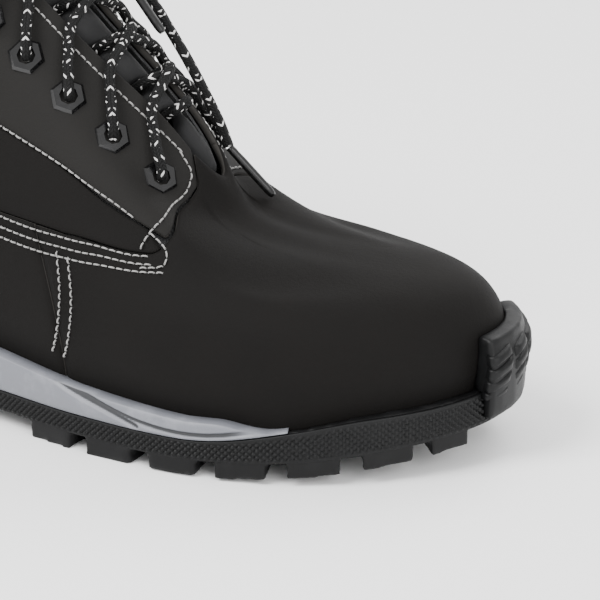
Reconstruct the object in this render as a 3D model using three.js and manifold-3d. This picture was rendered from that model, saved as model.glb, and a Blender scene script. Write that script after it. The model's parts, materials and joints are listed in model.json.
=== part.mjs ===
// A right-foot safety work boot: lasted leather upper, steel toe cap, two-part sole, padded tongue,
// hexagonal eyelets and a round lace. Millimetres, +X towards the toe, +Z up, lateral side at -Y.
// The upper is laid out on one closed last surface, last(t, s): t runs once round the foot from the
// back of the heel by the lateral side to the toe (0.5) and back by the medial side, and s runs from
// the feather edge (0), where upper and sole meet, to the topline (1). Below the feather edge the
// surface goes straight down into the cup of the sole.
import * as THREE from 'three';
import Module from 'manifold-3d';
import { mergeVertices } from 'three/addons/utils/BufferGeometryUtils.js';

const wasm = await Module();
wasm.setup();

// ---------------------------------------------------------------------------------------------
// Driving dimensions
// ---------------------------------------------------------------------------------------------
const UPPER_LENGTH = 305.5;      // heel to toe of the upper
const BALL_WIDTH = 101;          // upper at the ball of the foot
const COLLAR_HEIGHT = 164;       // ground to the top of the ankle collar

const LEATHER = 2.0;             // outer leather
const STIFFENER = 1.8;           // steel cap, heel counter, foam and eyelet stays share this ply
const LINING = 1.2;
const PLY_GAP = 0.35;            // clearance between plies
const SEAM_GAP = 0.45;           // clearance between neighbouring panels

const TREAD_DEPTH = 5;
const SOLE_PLATE = 3;            // solid rubber above the tread
const RUBBER_SIDE = 13;        // height of the rubber below the midsole, behind the ball
const SOLE_MARGIN = 5;           // how far the sole stands out from the feather edge
const TOE_SPRING = 8.5;
const SPRING_START = 60;         // the sole rises in front of this X
const CUP_DEPTH = 5;             // how deep the upper stands in the sole

const BUMPER_HEIGHT = 19;        // above the feather edge
const BUMPER_PROUD = 9.5;        // in front of the feather edge
const SHANK = { length: 95, width: 14, thick: 1.4, front: 2 };
const BOARD_THICK = 2;
const FOOTBED_THICK = 4.5;

const EYELET_PAIRS = 5;
const EYELET_FIRST = 15;         // from the corner of the throat, along the facing edge
const EYELET_PITCH = 18.5;
const EYELET_EDGE = 20;          // from the facing edge
const EYELET = { across: 11, flange: 1.3, hole: 6.2, wall: 0.6 };
const LACE_WIDTH = 3.6;

const TONGUE_THICK = 6;
const TONGUE_CROWN = 2;          // how far the pad bulges out between the facings
const TONGUE_DROP = 12.6;         // how deep it lies under the facings
const LOOP = {
  width: 18, height: 28, depth: 12, thick: 1.6, tabLow: 0.86, tabHigh: 0.965, lean: -0.14,
};
const AGLET = { width: 3, length: 22 };

// ---------------------------------------------------------------------------------------------
// The last
// ---------------------------------------------------------------------------------------------
// Rows from the feather edge to the topline; each has eleven stations from the back of the heel to
// the tip of the toe: [x, z, half width to the lateral side, half width to the medial side].
const LAST_ROWS = [
  [[-149, 35, 0, 0], [-143, 35, 19, 19], [-120, 34.5, 33, 32.5], [-85, 33, 36.5, 35],
    [-45, 30, 37.5, 31.5], [-5, 26, 42, 33.5], [35, 22, 48.5, 42], [75, 19.5, 49, 48.5],
    [112, 21, 38, 47], [141.5, 23.5, 13, 34], [152, 25, -12, 12]],
  [[-151.5, 49, 0, 0], [-145, 49, 20.5, 20.5], [-121, 48, 36, 35.5], [-85, 47, 39.5, 38.5],
    [-46, 45, 40.5, 37], [-7, 41, 44.5, 38], [34, 36, 50, 45], [73, 33, 51, 50.5],
    [112, 35, 39.5, 48.5], [143, 36.5, 13.5, 35], [154, 37.5, -12, 12]],
  [[-151.5, 67, 0, 0], [-145, 67, 20, 20], [-121, 66.5, 35, 34.5], [-85, 66, 38.5, 38],
    [-48, 64, 39.5, 38], [-11, 60, 42.5, 39.5], [28, 53, 47.5, 45], [66, 48, 48.5, 48],
    [110, 47.5, 38, 46], [141.5, 48, 13, 33], [152, 48.5, -11.5, 11.5]],
  [[-148.5, 86, 0, 0], [-142, 86, 18.5, 18.5], [-119, 87, 33.5, 33], [-84, 88, 37, 37],
    [-51, 87, 37.5, 36.5], [-16, 81, 38, 37.5], [19, 71, 42, 41], [57, 59.5, 43.5, 41.5],
    [99, 57, 35, 41], [131, 57, 11, 29.5], [142, 57.5, -10.5, 10.5]],
  [[-145.5, 108, 0, 0], [-138, 109, 18, 18], [-116, 111, 33, 32.5], [-83, 113, 37.5, 37],
    [-53, 112, 35.5, 35], [-21, 105, 33, 32.5], [9, 93.5, 35, 34.5], [43, 74, 36.5, 34.5],
    [81, 62.5, 30, 31], [108, 62, 9, 20], [117, 61.5, -7.5, 7.5]],
  [[-143.5, 133, 0, 0], [-135.5, 134, 19, 19], [-114, 136, 33.5, 33], [-81.5, 139, 38, 37.5],
    [-54, 141, 32, 31.5], [-30, 142, 26.5, 26], [-6, 125, 26.5, 26], [21, 104, 26.5, 25.5],
    [48, 82.5, 21.5, 19.5], [67, 70, 8, 11], [73, 68.5, -3, 3]],
  [[-143, 158, 0, 0], [-134, 159, 19, 19], [-112, 161, 33, 32.5], [-80, 163, 36, 35.5],
    [-52, 164, 27, 27], [-31, 162, 16, 16], [-7, 144, 13, 13], [17, 124, 11.5, 11.5],
    [41, 105, 9, 9], [54, 91, 6.5, 6.5], [59, 83.5, -1, 1]],
];
const LAST_LENGTH = 305.5;       // what the rows above measure
const LAST_WIDTH = 101;
const LAST_HEIGHT = 164;
const STATIONS = LAST_ROWS[0].length;
const COLUMNS = 2 * STATIONS - 2;
const grade = new THREE.Vector3(
  UPPER_LENGTH / LAST_LENGTH, BALL_WIDTH / LAST_WIDTH, COLLAR_HEIGHT / LAST_HEIGHT);

const lastGrid = LAST_ROWS.map((row) => {
  const ring = new Array(COLUMNS);
  row.forEach(([x, z, lateral, medial], j) => {
    ring[j] = new THREE.Vector3(x, -lateral, z).multiply(grade);
    if (j > 0 && j < STATIONS - 1) ring[COLUMNS - j] = new THREE.Vector3(x, medial, z).multiply(grade);
  });
  return ring;
});

function blend4(points, f) {
  const weights = [
    -f + 2 * f * f - f * f * f,
    2 - 5 * f * f + 3 * f * f * f,
    f + 4 * f * f - 3 * f * f * f,
    -f * f + f * f * f,
  ];
  return points.reduce(
    (sum, p, i) => sum.addScaledVector(p, weights[i] / 2), new THREE.Vector3());
}

function last(t, s) {
  const a = (((t % 1) + 1) % 1) * COLUMNS;
  const j = Math.floor(a);
  const ringPoint = (k) => blend4(
    [-1, 0, 1, 2].map((i) => lastGrid[k][(j + i + COLUMNS) % COLUMNS]), a - j);
  if (s < 0) return ringPoint(0).add(new THREE.Vector3(0, 0, s * 100));
  const top = lastGrid.length - 1;
  const b = Math.min(s, 1) * top;
  const k = Math.min(Math.floor(b), top - 1);
  const row = (i) => {
    if (i < 0) return ringPoint(0).multiplyScalar(2).sub(ringPoint(1));
    if (i > top) return ringPoint(top).multiplyScalar(2).sub(ringPoint(top - 1));
    return ringPoint(i);
  };
  return blend4([row(k - 1), row(k), row(k + 1), row(k + 2)], b - k);
}

function lastNormal(t, s) {
  const dt = 0.002;
  const ds = 0.01;
  const along = last(t + dt, s).sub(last(t - dt, s));
  const up = last(t, Math.min(s + ds, 1)).sub(last(t, s - ds));
  return along.cross(up).normalize();
}

const skin = (t, s, depth) => last(t, s).addScaledVector(lastNormal(t, s), -depth);

// Straight pieces of a seam line, given on the lateral side and mirrored to the medial side.
function seamLine(points) {
  return (t) => {
    const wrapped = ((t % 1) + 1) % 1;
    const u = wrapped > 0.5 ? 1 - wrapped : wrapped;
    const i = Math.max(1, points.findIndex((p) => p[0] >= u));
    const [[t0, s0], [t1, s1]] = [points[i - 1], points[i]];
    return s0 + (s1 - s0) * (u - t0) / (t1 - t0);
  };
}

// ---------------------------------------------------------------------------------------------
// Solids
// ---------------------------------------------------------------------------------------------
function geometryFrom(vertices, triangles) {
  let volume = 0;
  for (const [a, b, c] of triangles) {
    volume += vertices[a].dot(new THREE.Vector3().crossVectors(vertices[b], vertices[c]));
  }
  const facing = volume > 0 ? triangles : triangles.map(([a, b, c]) => [a, c, b]);
  const geometry = new THREE.BufferGeometry().setFromPoints(vertices);
  geometry.setIndex(facing.flat());
  return geometry;
}

// A closed loop of points carried through a list of stations, capped at both ends unless it closes.
function sweep(loops, closed = false) {
  const count = loops[0].length;
  const vertices = loops.flat();
  const triangles = [];
  const spans = closed ? loops.length : loops.length - 1;
  for (let i = 0; i < spans; i += 1) {
    const next = ((i + 1) % loops.length) * count;
    for (let j = 0; j < count; j += 1) {
      const k = (j + 1) % count;
      triangles.push([i * count + j, i * count + k, next + k], [i * count + j, next + k, next + j]);
    }
  }
  if (!closed) {
    const half = count / 2;
    for (const start of [0, (loops.length - 1) * count]) {
      for (let j = 0; j < half - 1; j += 1) {
        const quad = [j, j + 1, count - 2 - j, count - 1 - j].map((n) => start + n);
        const faces = [[quad[0], quad[2], quad[1]], [quad[0], quad[3], quad[2]]];
        triangles.push(...(start === 0 ? faces : faces.map(([a, b, c]) => [a, c, b])));
      }
    }
  }
  return geometryFrom(vertices, triangles);
}

// Lines of t round the last, closer together where the toe turns.
const FINE = 1 / 80;
const COARSE = 1 / 40;
const T_LINES = [];
for (let i = 0; i < 80; i += 1) {
  const t = i * FINE;
  if (Math.abs(t - 0.5) < 0.276 || i % Math.round(COARSE / FINE) === 0) T_LINES.push(t);
}

function linesBetween(t0, t1) {
  const inside = [];
  for (const turn of [-1, 0, 1]) {
    for (const t of T_LINES) {
      const v = t + turn;
      if (v > t0 + FINE * 0.3 && v < t1 - FINE * 0.3) inside.push(v);
    }
  }
  return [t0, ...inside, t1];
}

const FOOT = -(CUP_DEPTH - PLY_GAP) / 100;      // lower edge of everything that stands in the cup
const S_ROWS = 12;
const FULL_ROWS = [FOOT, ...[0, 2, 4, 5, 6, 7, 8, 9, 10, 11, 12].map((i) => i / S_ROWS)];

// A panel of the upper between two t lines and two seam lines, from one depth to another.
function panel({ from, to, low, high, outer, inner, rows = 5, bounds = [] }) {
  const lowAt = typeof low === 'function' ? low : () => low;
  const highAt = typeof high === 'function' ? high : () => high;
  const outerAt = typeof outer === 'function' ? outer : () => outer;
  const parts = Array.isArray(rows)
    ? rows.map((s) => (s - rows[0]) / (rows.at(-1) - rows[0]))
    : Array.from({ length: rows + 1 }, (_, i) => i / rows);
  const stations = [...new Set([...linesBetween(from, to), ...bounds])].sort((a, b) => a - b);
  return sweep(stations.map((t) => {
    const ss = parts.map((f) => THREE.MathUtils.lerp(lowAt(t), highAt(t), f));
    const front = ss.map((s, i) => skin(t, s, outerAt(t, parts[i])));
    const back = ss.map((s) => skin(t, s, inner)).reverse();
    return [...front, ...back];
  }));
}

// Rings of the sole are offsets of the feather edge, one point for each t line.
const featherRing = T_LINES.map((t) => last(t, 0));
const featherOut = T_LINES.map((t) => {
  const normal = last(t + 0.002, 0).sub(last(t - 0.002, 0)).cross(new THREE.Vector3(0, 0, 1));
  return normal.setZ(0).normalize();
});
const spring = (x) => (x > SPRING_START
  ? TOE_SPRING * ((x - SPRING_START) / (lastGrid[0][STATIONS - 1].x - SPRING_START)) ** 2
  : 0);

function featherHeight(x) {
  const stations = lastGrid[0].slice(0, STATIONS);
  const i = Math.min(Math.max(1, stations.findIndex((p) => p.x >= x)), STATIONS - 1);
  const at = x > stations.at(-1).x ? STATIONS - 1 : i;
  const f = (x - stations[at - 1].x) / (stations[at].x - stations[at - 1].x);
  return THREE.MathUtils.lerp(stations[at - 1].z, stations[at].z, THREE.MathUtils.clamp(f, 0, 1.2));
}
const cupFloor = (x) => featherHeight(x) - CUP_DEPTH;

const ringAt = (offset, height) => featherRing.map((p, i) => {
  const off = typeof offset === 'function' ? offset(p.x) : offset;
  const q = p.clone().addScaledVector(featherOut[i], off);
  return q.setZ(height(q.x, p.x));
});

// A plate from a stack of rings; the first and last ring are closed by rungs across the foot.
function plate(rings, across = 3) {
  const count = rings[0].length;
  const half = count / 2;
  const vertices = rings.flat();
  const triangles = [];
  for (let r = 0; r < rings.length - 1; r += 1) {
    for (let i = 0; i < count; i += 1) {
      const k = (i + 1) % count;
      const [a, b, c, d] = [r * count + i, r * count + k, (r + 1) * count + k, (r + 1) * count + i];
      triangles.push([a, b, c], [a, c, d]);
    }
  }
  const cap = (r, flip) => {
    const base = r * count;
    const rungs = [[base]];
    for (let i = 1; i < half; i += 1) {
      const [p, q] = [vertices[base + i], vertices[base + count - i]];
      const rung = [base + i];
      for (let m = 1; m < across; m += 1) {
        rung.push(vertices.length);
        vertices.push(p.clone().lerp(q, m / across));
      }
      rung.push(base + count - i);
      rungs.push(rung);
    }
    rungs.push([base + half]);
    const add = (a, b, c) => triangles.push(flip ? [a, c, b] : [a, b, c]);
    for (let i = 0; i < rungs.length - 1; i += 1) {
      const [one, two] = [rungs[i], rungs[i + 1]];
      for (let m = 0; m < across; m += 1) {
        if (one.length > 1 && two.length > 1) {
          add(one[m], one[m + 1], two[m + 1]);
          add(one[m], two[m + 1], two[m]);
        } else if (one.length > 1) add(one[m], one[m + 1], two[0]);
        else add(one[0], two[m + 1], two[m]);
      }
    }
  };
  cap(0, false);
  cap(rings.length - 1, true);
  return geometryFrom(vertices, triangles);
}

function toSolid(geometry) {
  const bare = geometry.clone();
  bare.deleteAttribute('normal');
  bare.deleteAttribute('uv');
  const merged = mergeVertices(bare, 1e-4);
  return new wasm.Manifold(new wasm.Mesh({
    numProp: 3,
    vertProperties: Float32Array.from(merged.attributes.position.array),
    triVerts: Uint32Array.from(merged.index.array),
  }));
}

function fromSolid(solid) {
  const mesh = solid.getMesh();
  const geometry = new THREE.BufferGeometry();
  geometry.setAttribute('position', new THREE.BufferAttribute(mesh.vertProperties, 3));
  geometry.setIndex(new THREE.BufferAttribute(mesh.triVerts, 1));
  return geometry;
}

const union = (geometries) => fromSolid(
  geometries.map(toSolid).reduce((sum, solid) => sum.add(solid)));
const cut = (geometry, cutters) => fromSolid(
  cutters.map(toSolid).reduce((rest, solid) => rest.subtract(solid), toSolid(geometry)));

// Cuts, and keeps only the largest body of what is left.
function trimmed(geometry, cutters) {
  const rest = cutters.map(toSolid).reduce((body, solid) => body.subtract(solid), toSolid(geometry));
  return fromSolid(rest.decompose().sort((a, b) => b.volume() - a.volume())[0]);
}

function tube(points, width, steps, closed = false) {
  const section = new THREE.Shape();
  for (let i = 0; i < 6; i += 1) {
    const angle = i * Math.PI / 3;
    const [x, y] = [Math.cos(angle) * width / 2, Math.sin(angle) * width / 2];
    if (i === 0) section.moveTo(x, y);
    else section.lineTo(x, y);
  }
  const extrudePath = new THREE.CatmullRomCurve3(points, closed, 'centripetal');
  return new THREE.ExtrudeGeometry(section, { steps, extrudePath, bevelEnabled: false });
}

// Turns a geometry made about +Z so that +Z follows the given direction, and moves it to a point.
function stand(geometry, point, direction, twist = new THREE.Vector3(0, 1, 0)) {
  const z = direction.clone().normalize();
  const x = twist.clone().cross(z).normalize();
  const y = z.clone().cross(x);
  const matrix = new THREE.Matrix4().makeBasis(x, y, z).setPosition(point);
  return geometry.applyMatrix4(matrix);
}

const cylinder = (radius, height, sides) => new THREE.CylinderGeometry(radius, radius, height, sides)
  .rotateX(Math.PI / 2);

const INSIDE = LEATHER + STIFFENER + LINING + 2 * PLY_GAP;      // depth of the inside of the lining

// ---------------------------------------------------------------------------------------------
// Materials and the group
// ---------------------------------------------------------------------------------------------
const finish = (color, roughness, metalness = 0) => new THREE.MeshStandardMaterial(
  { color, roughness, metalness });
const nubuck = finish(0x242220, 0.85);
const facingLeather = finish(0x35332f, 0.8);
const collarCloth = finish(0x1b1b1c, 0.9);
const liningMesh = finish(0x2a2b2d, 0.95);
const foam = finish(0x8e8f90, 0.95);
const board = finish(0xb9a88a, 0.9);
const steel = finish(0x9a9da0, 0.4, 1);
const rubber = finish(0x17171a, 0.75);
const bumperRubber = finish(0x2a2b2f, 0.5);
const greyFoam = finish(0x7c7f88, 0.7);
const eyeletPaint = finish(0x18181a, 0.25, 0.6);
const laceCord = finish(0x1c1c1c, 0.8);
const agletFilm = finish(0x202022, 0.3);
const webbing = finish(0x1f1f20, 0.9);

const boot = new THREE.Group();
function add(name, geometry, material) {
  const mesh = new THREE.Mesh(geometry, material);
  mesh.name = name;
  boot.add(mesh);
  return mesh;
}

// ---------------------------------------------------------------------------------------------
// Sole unit
// ---------------------------------------------------------------------------------------------
const TAPER_START = 72;          // X where the rubber side starts to climb
const TAPER_END = 128;           // X where it has covered the midsole
const climb = (x) => THREE.MathUtils.smoothstep(x, TAPER_START, TAPER_END);
const RIM_ABOVE = 0.4;           // the rubber wall tops the feather edge by this much
const rubberTop = (x) => THREE.MathUtils.lerp(RUBBER_SIDE, featherHeight(x) + RIM_ABOVE, climb(x));
const LEDGE = 1.9;               // how far outside the feather edge the rubber ledge starts
const LEDGE_END = 116;           // X where the ledge runs out, in front of the midsole's rim
const wallInside = (x) => THREE.MathUtils.lerp(
  LEDGE, PLY_GAP, THREE.MathUtils.smoothstep(x, LEDGE_END, LEDGE_END + 12));
const plateTop = (x) => TREAD_DEPTH + SOLE_PLATE + spring(x);

function treadLug(corners) {
  const shape = new THREE.Shape(corners.map((p) => new THREE.Vector2(p.x, p.y)));
  const rootDepth = 1.2;
  const geometry = new THREE.ExtrudeGeometry(
    shape, { depth: TREAD_DEPTH + rootDepth, bevelEnabled: false });
  const position = geometry.attributes.position;
  for (let i = 0; i < position.count; i += 1) {
    position.setZ(i, position.getZ(i) + spring(position.getX(i)));
  }
  return geometry;
}

function edgePoint(t, offset) {
  const out = last(t + 0.002, 0).sub(last(t - 0.002, 0)).cross(new THREE.Vector3(0, 0, 1));
  return last(t, 0).addScaledVector(out.setZ(0).normalize(), offset);
}

function edgeLug(t, skew) {
  const half = 0.0105;
  const reach = SOLE_MARGIN + 0.6;
  const inner = -12;
  return treadLug([
    edgePoint(t - half, reach), edgePoint(t + half, reach),
    edgePoint(t + half * 0.6 + skew, inner), edgePoint(t - half * 0.6 + skew, inner),
  ]);
}

function chevronLug(x, y, size, turn) {
  const at = (dx, dy) => new THREE.Vector3(x + dx * size * turn, y + dy * size, 0);
  return treadLug([
    at(0.5, 0), at(-0.1, 0.85), at(-0.6, 0.85), at(-0.15, 0), at(-0.6, -0.85), at(-0.1, -0.85),
  ]);
}

function outsoleGeometry() {
  const lowest = (x) => TREAD_DEPTH + spring(x);
  const body = plate([
    ringAt(SOLE_MARGIN - 3, lowest),
    ringAt(SOLE_MARGIN, (x) => lowest(x) + 1.5),
    ringAt(SOLE_MARGIN - 0.4, (x, px) => rubberTop(px)),
    ringAt(wallInside, (x, px) => rubberTop(px)),
    ringAt(wallInside, plateTop),
  ]);
  const lugs = [];
  for (const side of [1, -1]) {
    for (let i = 0; i < 7; i += 1) lugs.push(edgeLug(side * (0.285 + 0.0292 * i), side * 0.004));
    for (let i = 0; i < 5; i += 1) lugs.push(edgeLug(side * (0.016 + 0.0285 * i), -side * 0.003));
    lugs.push(edgeLug(side * 0.2, 0));
  }
  for (let i = 0; i < 4; i += 1) {
    lugs.push(chevronLug((36 + 25 * i) * grade.x, 2 * grade.y, 13, 1));
  }
  for (let i = 0; i < 3; i += 1) lugs.push(chevronLug((-70 - 24 * i) * grade.x, 0, 12, -1));
  return union([body, ...lugs]);
}

function shankGeometry(clearance) {
  const { length, width, thick, front } = SHANK;
  const bar = new THREE.BoxGeometry(
    length + 2 * clearance, width + 2 * clearance, thick + 2 * clearance, 10, 1, 1);
  const position = bar.attributes.position;
  for (let i = 0; i < position.count; i += 1) {
    const x = position.getX(i) + front - length / 2;
    const depth = thick / 2 + 0.15;
    position.setXYZ(i, x, position.getY(i), position.getZ(i) + cupFloor(x) - depth);
  }
  return bar;
}

function midsoleGeometry() {
  const core = plate([
    ringAt((x) => wallInside(x) - PLY_GAP, (x) => plateTop(x) + PLY_GAP),
    ringAt((x) => wallInside(x) - PLY_GAP, (x) => cupFloor(x)),
  ]);
  const outerOffset = SOLE_MARGIN - 0.2;
  const rimThickness = (t) => {
    const x = last(t, 0).x;
    return featherHeight(x) - rubberTop(x) - PLY_GAP;
  };
  let rimEnd = 0.25;
  while (rimThickness(rimEnd) > 0.5) rimEnd += 0.001;
  const rim = sweep(linesBetween(-rimEnd, rimEnd).map((t) => {
    const x = last(t, 0).x;
    const top = featherHeight(x);
    const floor = cupFloor(x);
    const base = rubberTop(x) + PLY_GAP;
    const root = Math.min(base, floor - 1);
    const at = (offset, z) => edgePoint(t, offset).setZ(z);
    const inside = wallInside(x) - PLY_GAP;
    return [
      at(-3, root), at(inside, root), at(inside, base), at(outerOffset, base),
      at(outerOffset - 0.8, top), at(PLY_GAP + 0.2, top), at(PLY_GAP + 0.15, floor), at(-3, floor - 0.02),
    ];
  }));
  return cut(union([core, rim]), [shankGeometry(PLY_GAP)]);
}

function bumperGeometry() {
  const clear = SOLE_MARGIN + PLY_GAP;
  return sweep(linesBetween(0.48, 0.55).map((t) => {
    const x = last(t, 0).x;
    const perRise = 1 / 6 / (last(t, 1 / 6).z - last(t, 0).z);
    const foot = (plateTop(x) - featherHeight(x)) / 100;
    const rim = (RIM_ABOVE + PLY_GAP) * perRise;
    const rimHeight = rubberTop(x) + PLY_GAP + 0.15;
    const top = BUMPER_HEIGHT * perRise;
    return [
      edgePoint(t, clear).setZ(plateTop(x)), skin(t, foot, 1 - BUMPER_PROUD), skin(t, foot + 0.02, -BUMPER_PROUD),
      skin(t, top * 0.6, -BUMPER_PROUD + 1), skin(t, top, 3 - BUMPER_PROUD),
      skin(t, top + 0.015, -1.5), skin(t, top, -PLY_GAP), skin(t, top * 0.66, -PLY_GAP),
      skin(t, top * 0.33, -PLY_GAP), skin(t, rim, -PLY_GAP).setZ(rimHeight),
      edgePoint(t, clear).setZ(rimHeight), edgePoint(t, clear).setZ(rimHeight - 3),
    ].reverse();
  }));
}

add('outsole', outsoleGeometry(), rubber);
add('midsole', midsoleGeometry(), greyFoam);
add('toe_bumper', bumperGeometry(), bumperRubber);
add('shank', shankGeometry(0), steel);

const boardInset = -(INSIDE + 0.5);
const innerPlate = (inset, lift, thick) => plate([
  ringAt(inset, (x) => cupFloor(x) + lift),
  ringAt(inset, (x) => cupFloor(x) + lift + thick),
]);
const footbedLift = BOARD_THICK + 2 * PLY_GAP;
add('insole_board', innerPlate(boardInset, PLY_GAP, BOARD_THICK), board);
add('footbed', innerPlate(boardInset - 0.6, footbedLift, FOOTBED_THICK), foam);

// ---------------------------------------------------------------------------------------------
// Upper
// ---------------------------------------------------------------------------------------------
const VAMP_SIDE = 0.29;          // t of the upright seam at the side of the foot
const TIP = { t: 0.36, s: 0.635 };          // lower front tip of the quarter
const CORNER = 0.4425;           // t of the throat's corner, on the topline
const BACKSTAY = 0.025;          // half width of the backstay, in t
const COLLAR_END = 0.19;         // t where the ankle collar meets the facing
const COLLAR_LOW = 0.84;         // s of the collar's lower seam
const STAY_START = 0.2375;       // t where the padding ends and the eyelet stay starts
const SEAM_S = SEAM_GAP / 90;
const SEAM_T = SEAM_GAP / 600;
const PLY_TOP = LEATHER + PLY_GAP;
const PLY_FLOOR = PLY_TOP + STIFFENER;

const quarterBase = seamLine([
  [0, 0.46], [0.2, 0.44], [0.2675, 0.463], [0.307, 0.51], [0.3293, 0.559], [TIP.t, TIP.s],
  [0.375, 0.7], [0.4035, 0.797], [0.4234, 0.861], [0.4375, 0.917], [CORNER, 1], [0.51, 1]]);
const facingBase = seamLine([
  [0, COLLAR_LOW], [COLLAR_END, COLLAR_LOW], [0.21, 0.76], [0.24, 0.69], [0.275, 0.666],
  [0.3, 0.676], [0.33, 0.7], [0.36, 0.705], [0.51, 0.705]]);
const belowQuarter = (t) => (quarterBase(t) >= 1 ? 1 : quarterBase(t) - SEAM_S);
const facingLow = (t) => Math.max(facingBase(t), quarterBase(t)) + 1.6 * SEAM_S;
const leather = { outer: 0, inner: LEATHER };
const middlePly = { outer: PLY_TOP, inner: PLY_FLOOR };
const thinPly = { outer: PLY_TOP + 0.25, inner: PLY_FLOOR - 0.8 };

// Mirrors a stretch of t from the lateral side to the medial side.
const sided = (side, from, to) => (side > 0 ? { from, to } : { from: 1 - to, to: 1 - from });

add('vamp', panel({
  from: VAMP_SIDE + SEAM_T, to: 1 - VAMP_SIDE - SEAM_T, low: FOOT, high: belowQuarter,
  rows: FULL_ROWS, bounds: [CORNER, 1 - CORNER], ...leather,
}), nubuck);
add('heel_panel', panel({
  from: SEAM_T - VAMP_SIDE, to: VAMP_SIDE - SEAM_T, low: FOOT, high: belowQuarter,
  rows: FULL_ROWS.slice(0, 5), ...leather,
}), nubuck);
add('backstay', panel({
  from: SEAM_T - BACKSTAY, to: BACKSTAY - SEAM_T, low: (t) => quarterBase(t) + SEAM_S,
  high: COLLAR_LOW - SEAM_S, ...leather,
}), facingLeather);
add('collar', panel({
  from: SEAM_T - COLLAR_END, to: COLLAR_END - SEAM_T, low: COLLAR_LOW + SEAM_S, high: 1, rows: 4,
  outer: (t, f) => -3 * Math.sin(Math.PI * f), inner: PLY_FLOOR,
}), collarCloth);

// Eyelets stand in a row along each facing edge.
function edgeWalk() {
  const walk = [];
  let length = 0;
  let before = last(CORNER, 1);
  for (let t = CORNER - 0.0025; t > 0.2; t -= 0.0005) {
    const p = last(t, 1);
    length += p.distanceTo(before);
    before = p;
    walk.push({ t, length });
  }
  return walk;
}
const facingEdge = edgeWalk();
const edgeT = (d) => facingEdge.find((p) => p.length >= d).t;
const FACING_LENGTH = facingEdge.find((p) => p.t <= 0.25).length;

// A point near the facing edge: d along it from the corner, and so far in from it.
function facingSpot(d, inward, depth, side) {
  const t = side > 0 ? edgeT(d) : 1 - edgeT(d);
  const perS = last(t, 1).distanceTo(last(t, 0.9)) / 0.1;
  const s = 1 - Math.max(inward, 0) / perS;
  const normal = lastNormal(t, s);
  const point = skin(t, s, depth);
  if (inward < 0) {
    point.addScaledVector(last(t, 1).sub(last(t, 0.98)).normalize(), -inward);
  }
  return { point, normal };
}
const eyeletPlace = (i, side) => facingSpot(EYELET_FIRST + i * EYELET_PITCH, EYELET_EDGE, 0, side);

function eyeletGeometry(i, side) {
  const { point, normal } = eyeletPlace(i, side);
  const radius = EYELET.hole / 2 + EYELET.wall;
  const base = PLY_GAP;
  const deep = INSIDE + 0.3;
  const hex = new THREE.CylinderGeometry(
    EYELET.across / Math.sqrt(3) - 1, EYELET.across / Math.sqrt(3), EYELET.flange, 6)
    .rotateX(Math.PI / 2).translate(0, 0, base + EYELET.flange / 2);
  const barrel = cylinder(radius, deep + base + 0.5, 8).translate(0, 0, (base + 0.5 - deep) / 2);
  const bore = cylinder(EYELET.hole / 2, 40, 8);
  return stand(cut(union([hex, barrel]), [bore]), point, normal);
}

const hexPrism = (across, height) => new THREE.CylinderGeometry(
  across / Math.sqrt(3), across / Math.sqrt(3), height, 6).rotateX(Math.PI / 2);

function pierced(geometry, sides) {
  const cutters = [];
  for (const side of sides) {
    for (let i = 0; i < EYELET_PAIRS; i += 1) {
      const { point, normal } = eyeletPlace(i, side);
      const radius = EYELET.hole / 2 + EYELET.wall + 1.2 * PLY_GAP;
      cutters.push(stand(cylinder(radius, 30, 8), point, normal));
      cutters.push(stand(hexPrism(EYELET.across + 1.2, 8).translate(0, 0, 4.05), point, normal));
    }
  }
  return cut(geometry, cutters);
}

for (const [name, side] of [['lateral', 1], ['medial', -1]]) {
  add(`quarter_${name}`, panel({
    ...sided(side, BACKSTAY + SEAM_T, TIP.t + 0.008), low: (t) => quarterBase(t) + SEAM_S,
    high: (t) => facingBase(t) - SEAM_S, ...leather,
  }), nubuck);
  add(`facing_${name}`, pierced(panel({
    ...sided(side, COLLAR_END + SEAM_T, 0.4375 - SEAM_T), low: facingLow, high: 1, ...leather,
  }), [side]), facingLeather);
  add(`eyelet_stay_${name}`, pierced(panel({
    ...sided(side, STAY_START, 0.4325), low: (t) => facingLow(t) + 0.02, high: 1, ...thinPly,
  }), [side]), board);
  add(`quarter_padding_${name}`, panel({
    ...sided(side, BACKSTAY, STAY_START - 2 * SEAM_T), low: 0.44, high: 0.82, ...thinPly,
  }), foam);
}

const LINING_ROWS = [...FULL_ROWS.slice(0, -1), 0.995];
const liningGeometry = sweep(T_LINES.map((t) => [
  ...LINING_ROWS.map((s) => skin(t, s, PLY_FLOOR + PLY_GAP)),
  ...LINING_ROWS.map((s) => skin(t, s, INSIDE)).reverse(),
]), true);
add('lining', pierced(liningGeometry, [1, -1]), liningMesh);
add('heel_counter', panel({
  from: -0.175, to: 0.175, low: FOOT, high: 5 / S_ROWS, rows: FULL_ROWS.slice(0, 5), ...middlePly,
}), board);
const CAP_SIDE = 0.4;
const CAP_TOP = 8 / S_ROWS;
add('steel_toe_cap', panel({
  from: CAP_SIDE, to: 1 - CAP_SIDE, low: FOOT, high: CAP_TOP, rows: FULL_ROWS.slice(0, 8),
  outer: PLY_TOP + 0.25, inner: PLY_FLOOR,
}), steel);
add('cap_edge_strip', panel({
  from: CAP_SIDE, to: 1 - CAP_SIDE, low: CAP_TOP + SEAM_S, high: CAP_TOP + 1 / S_ROWS - SEAM_S, rows: 1,
  outer: PLY_TOP + 0.4, inner: PLY_FLOOR - 0.55,
}), rubber);

for (let i = 0; i < EYELET_PAIRS; i += 1) {
  add(`eyelet_lateral_${i + 1}`, eyeletGeometry(i, 1), eyeletPaint);
  add(`eyelet_medial_${i + 1}`, eyeletGeometry(i, -1), eyeletPaint);
}

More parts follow.
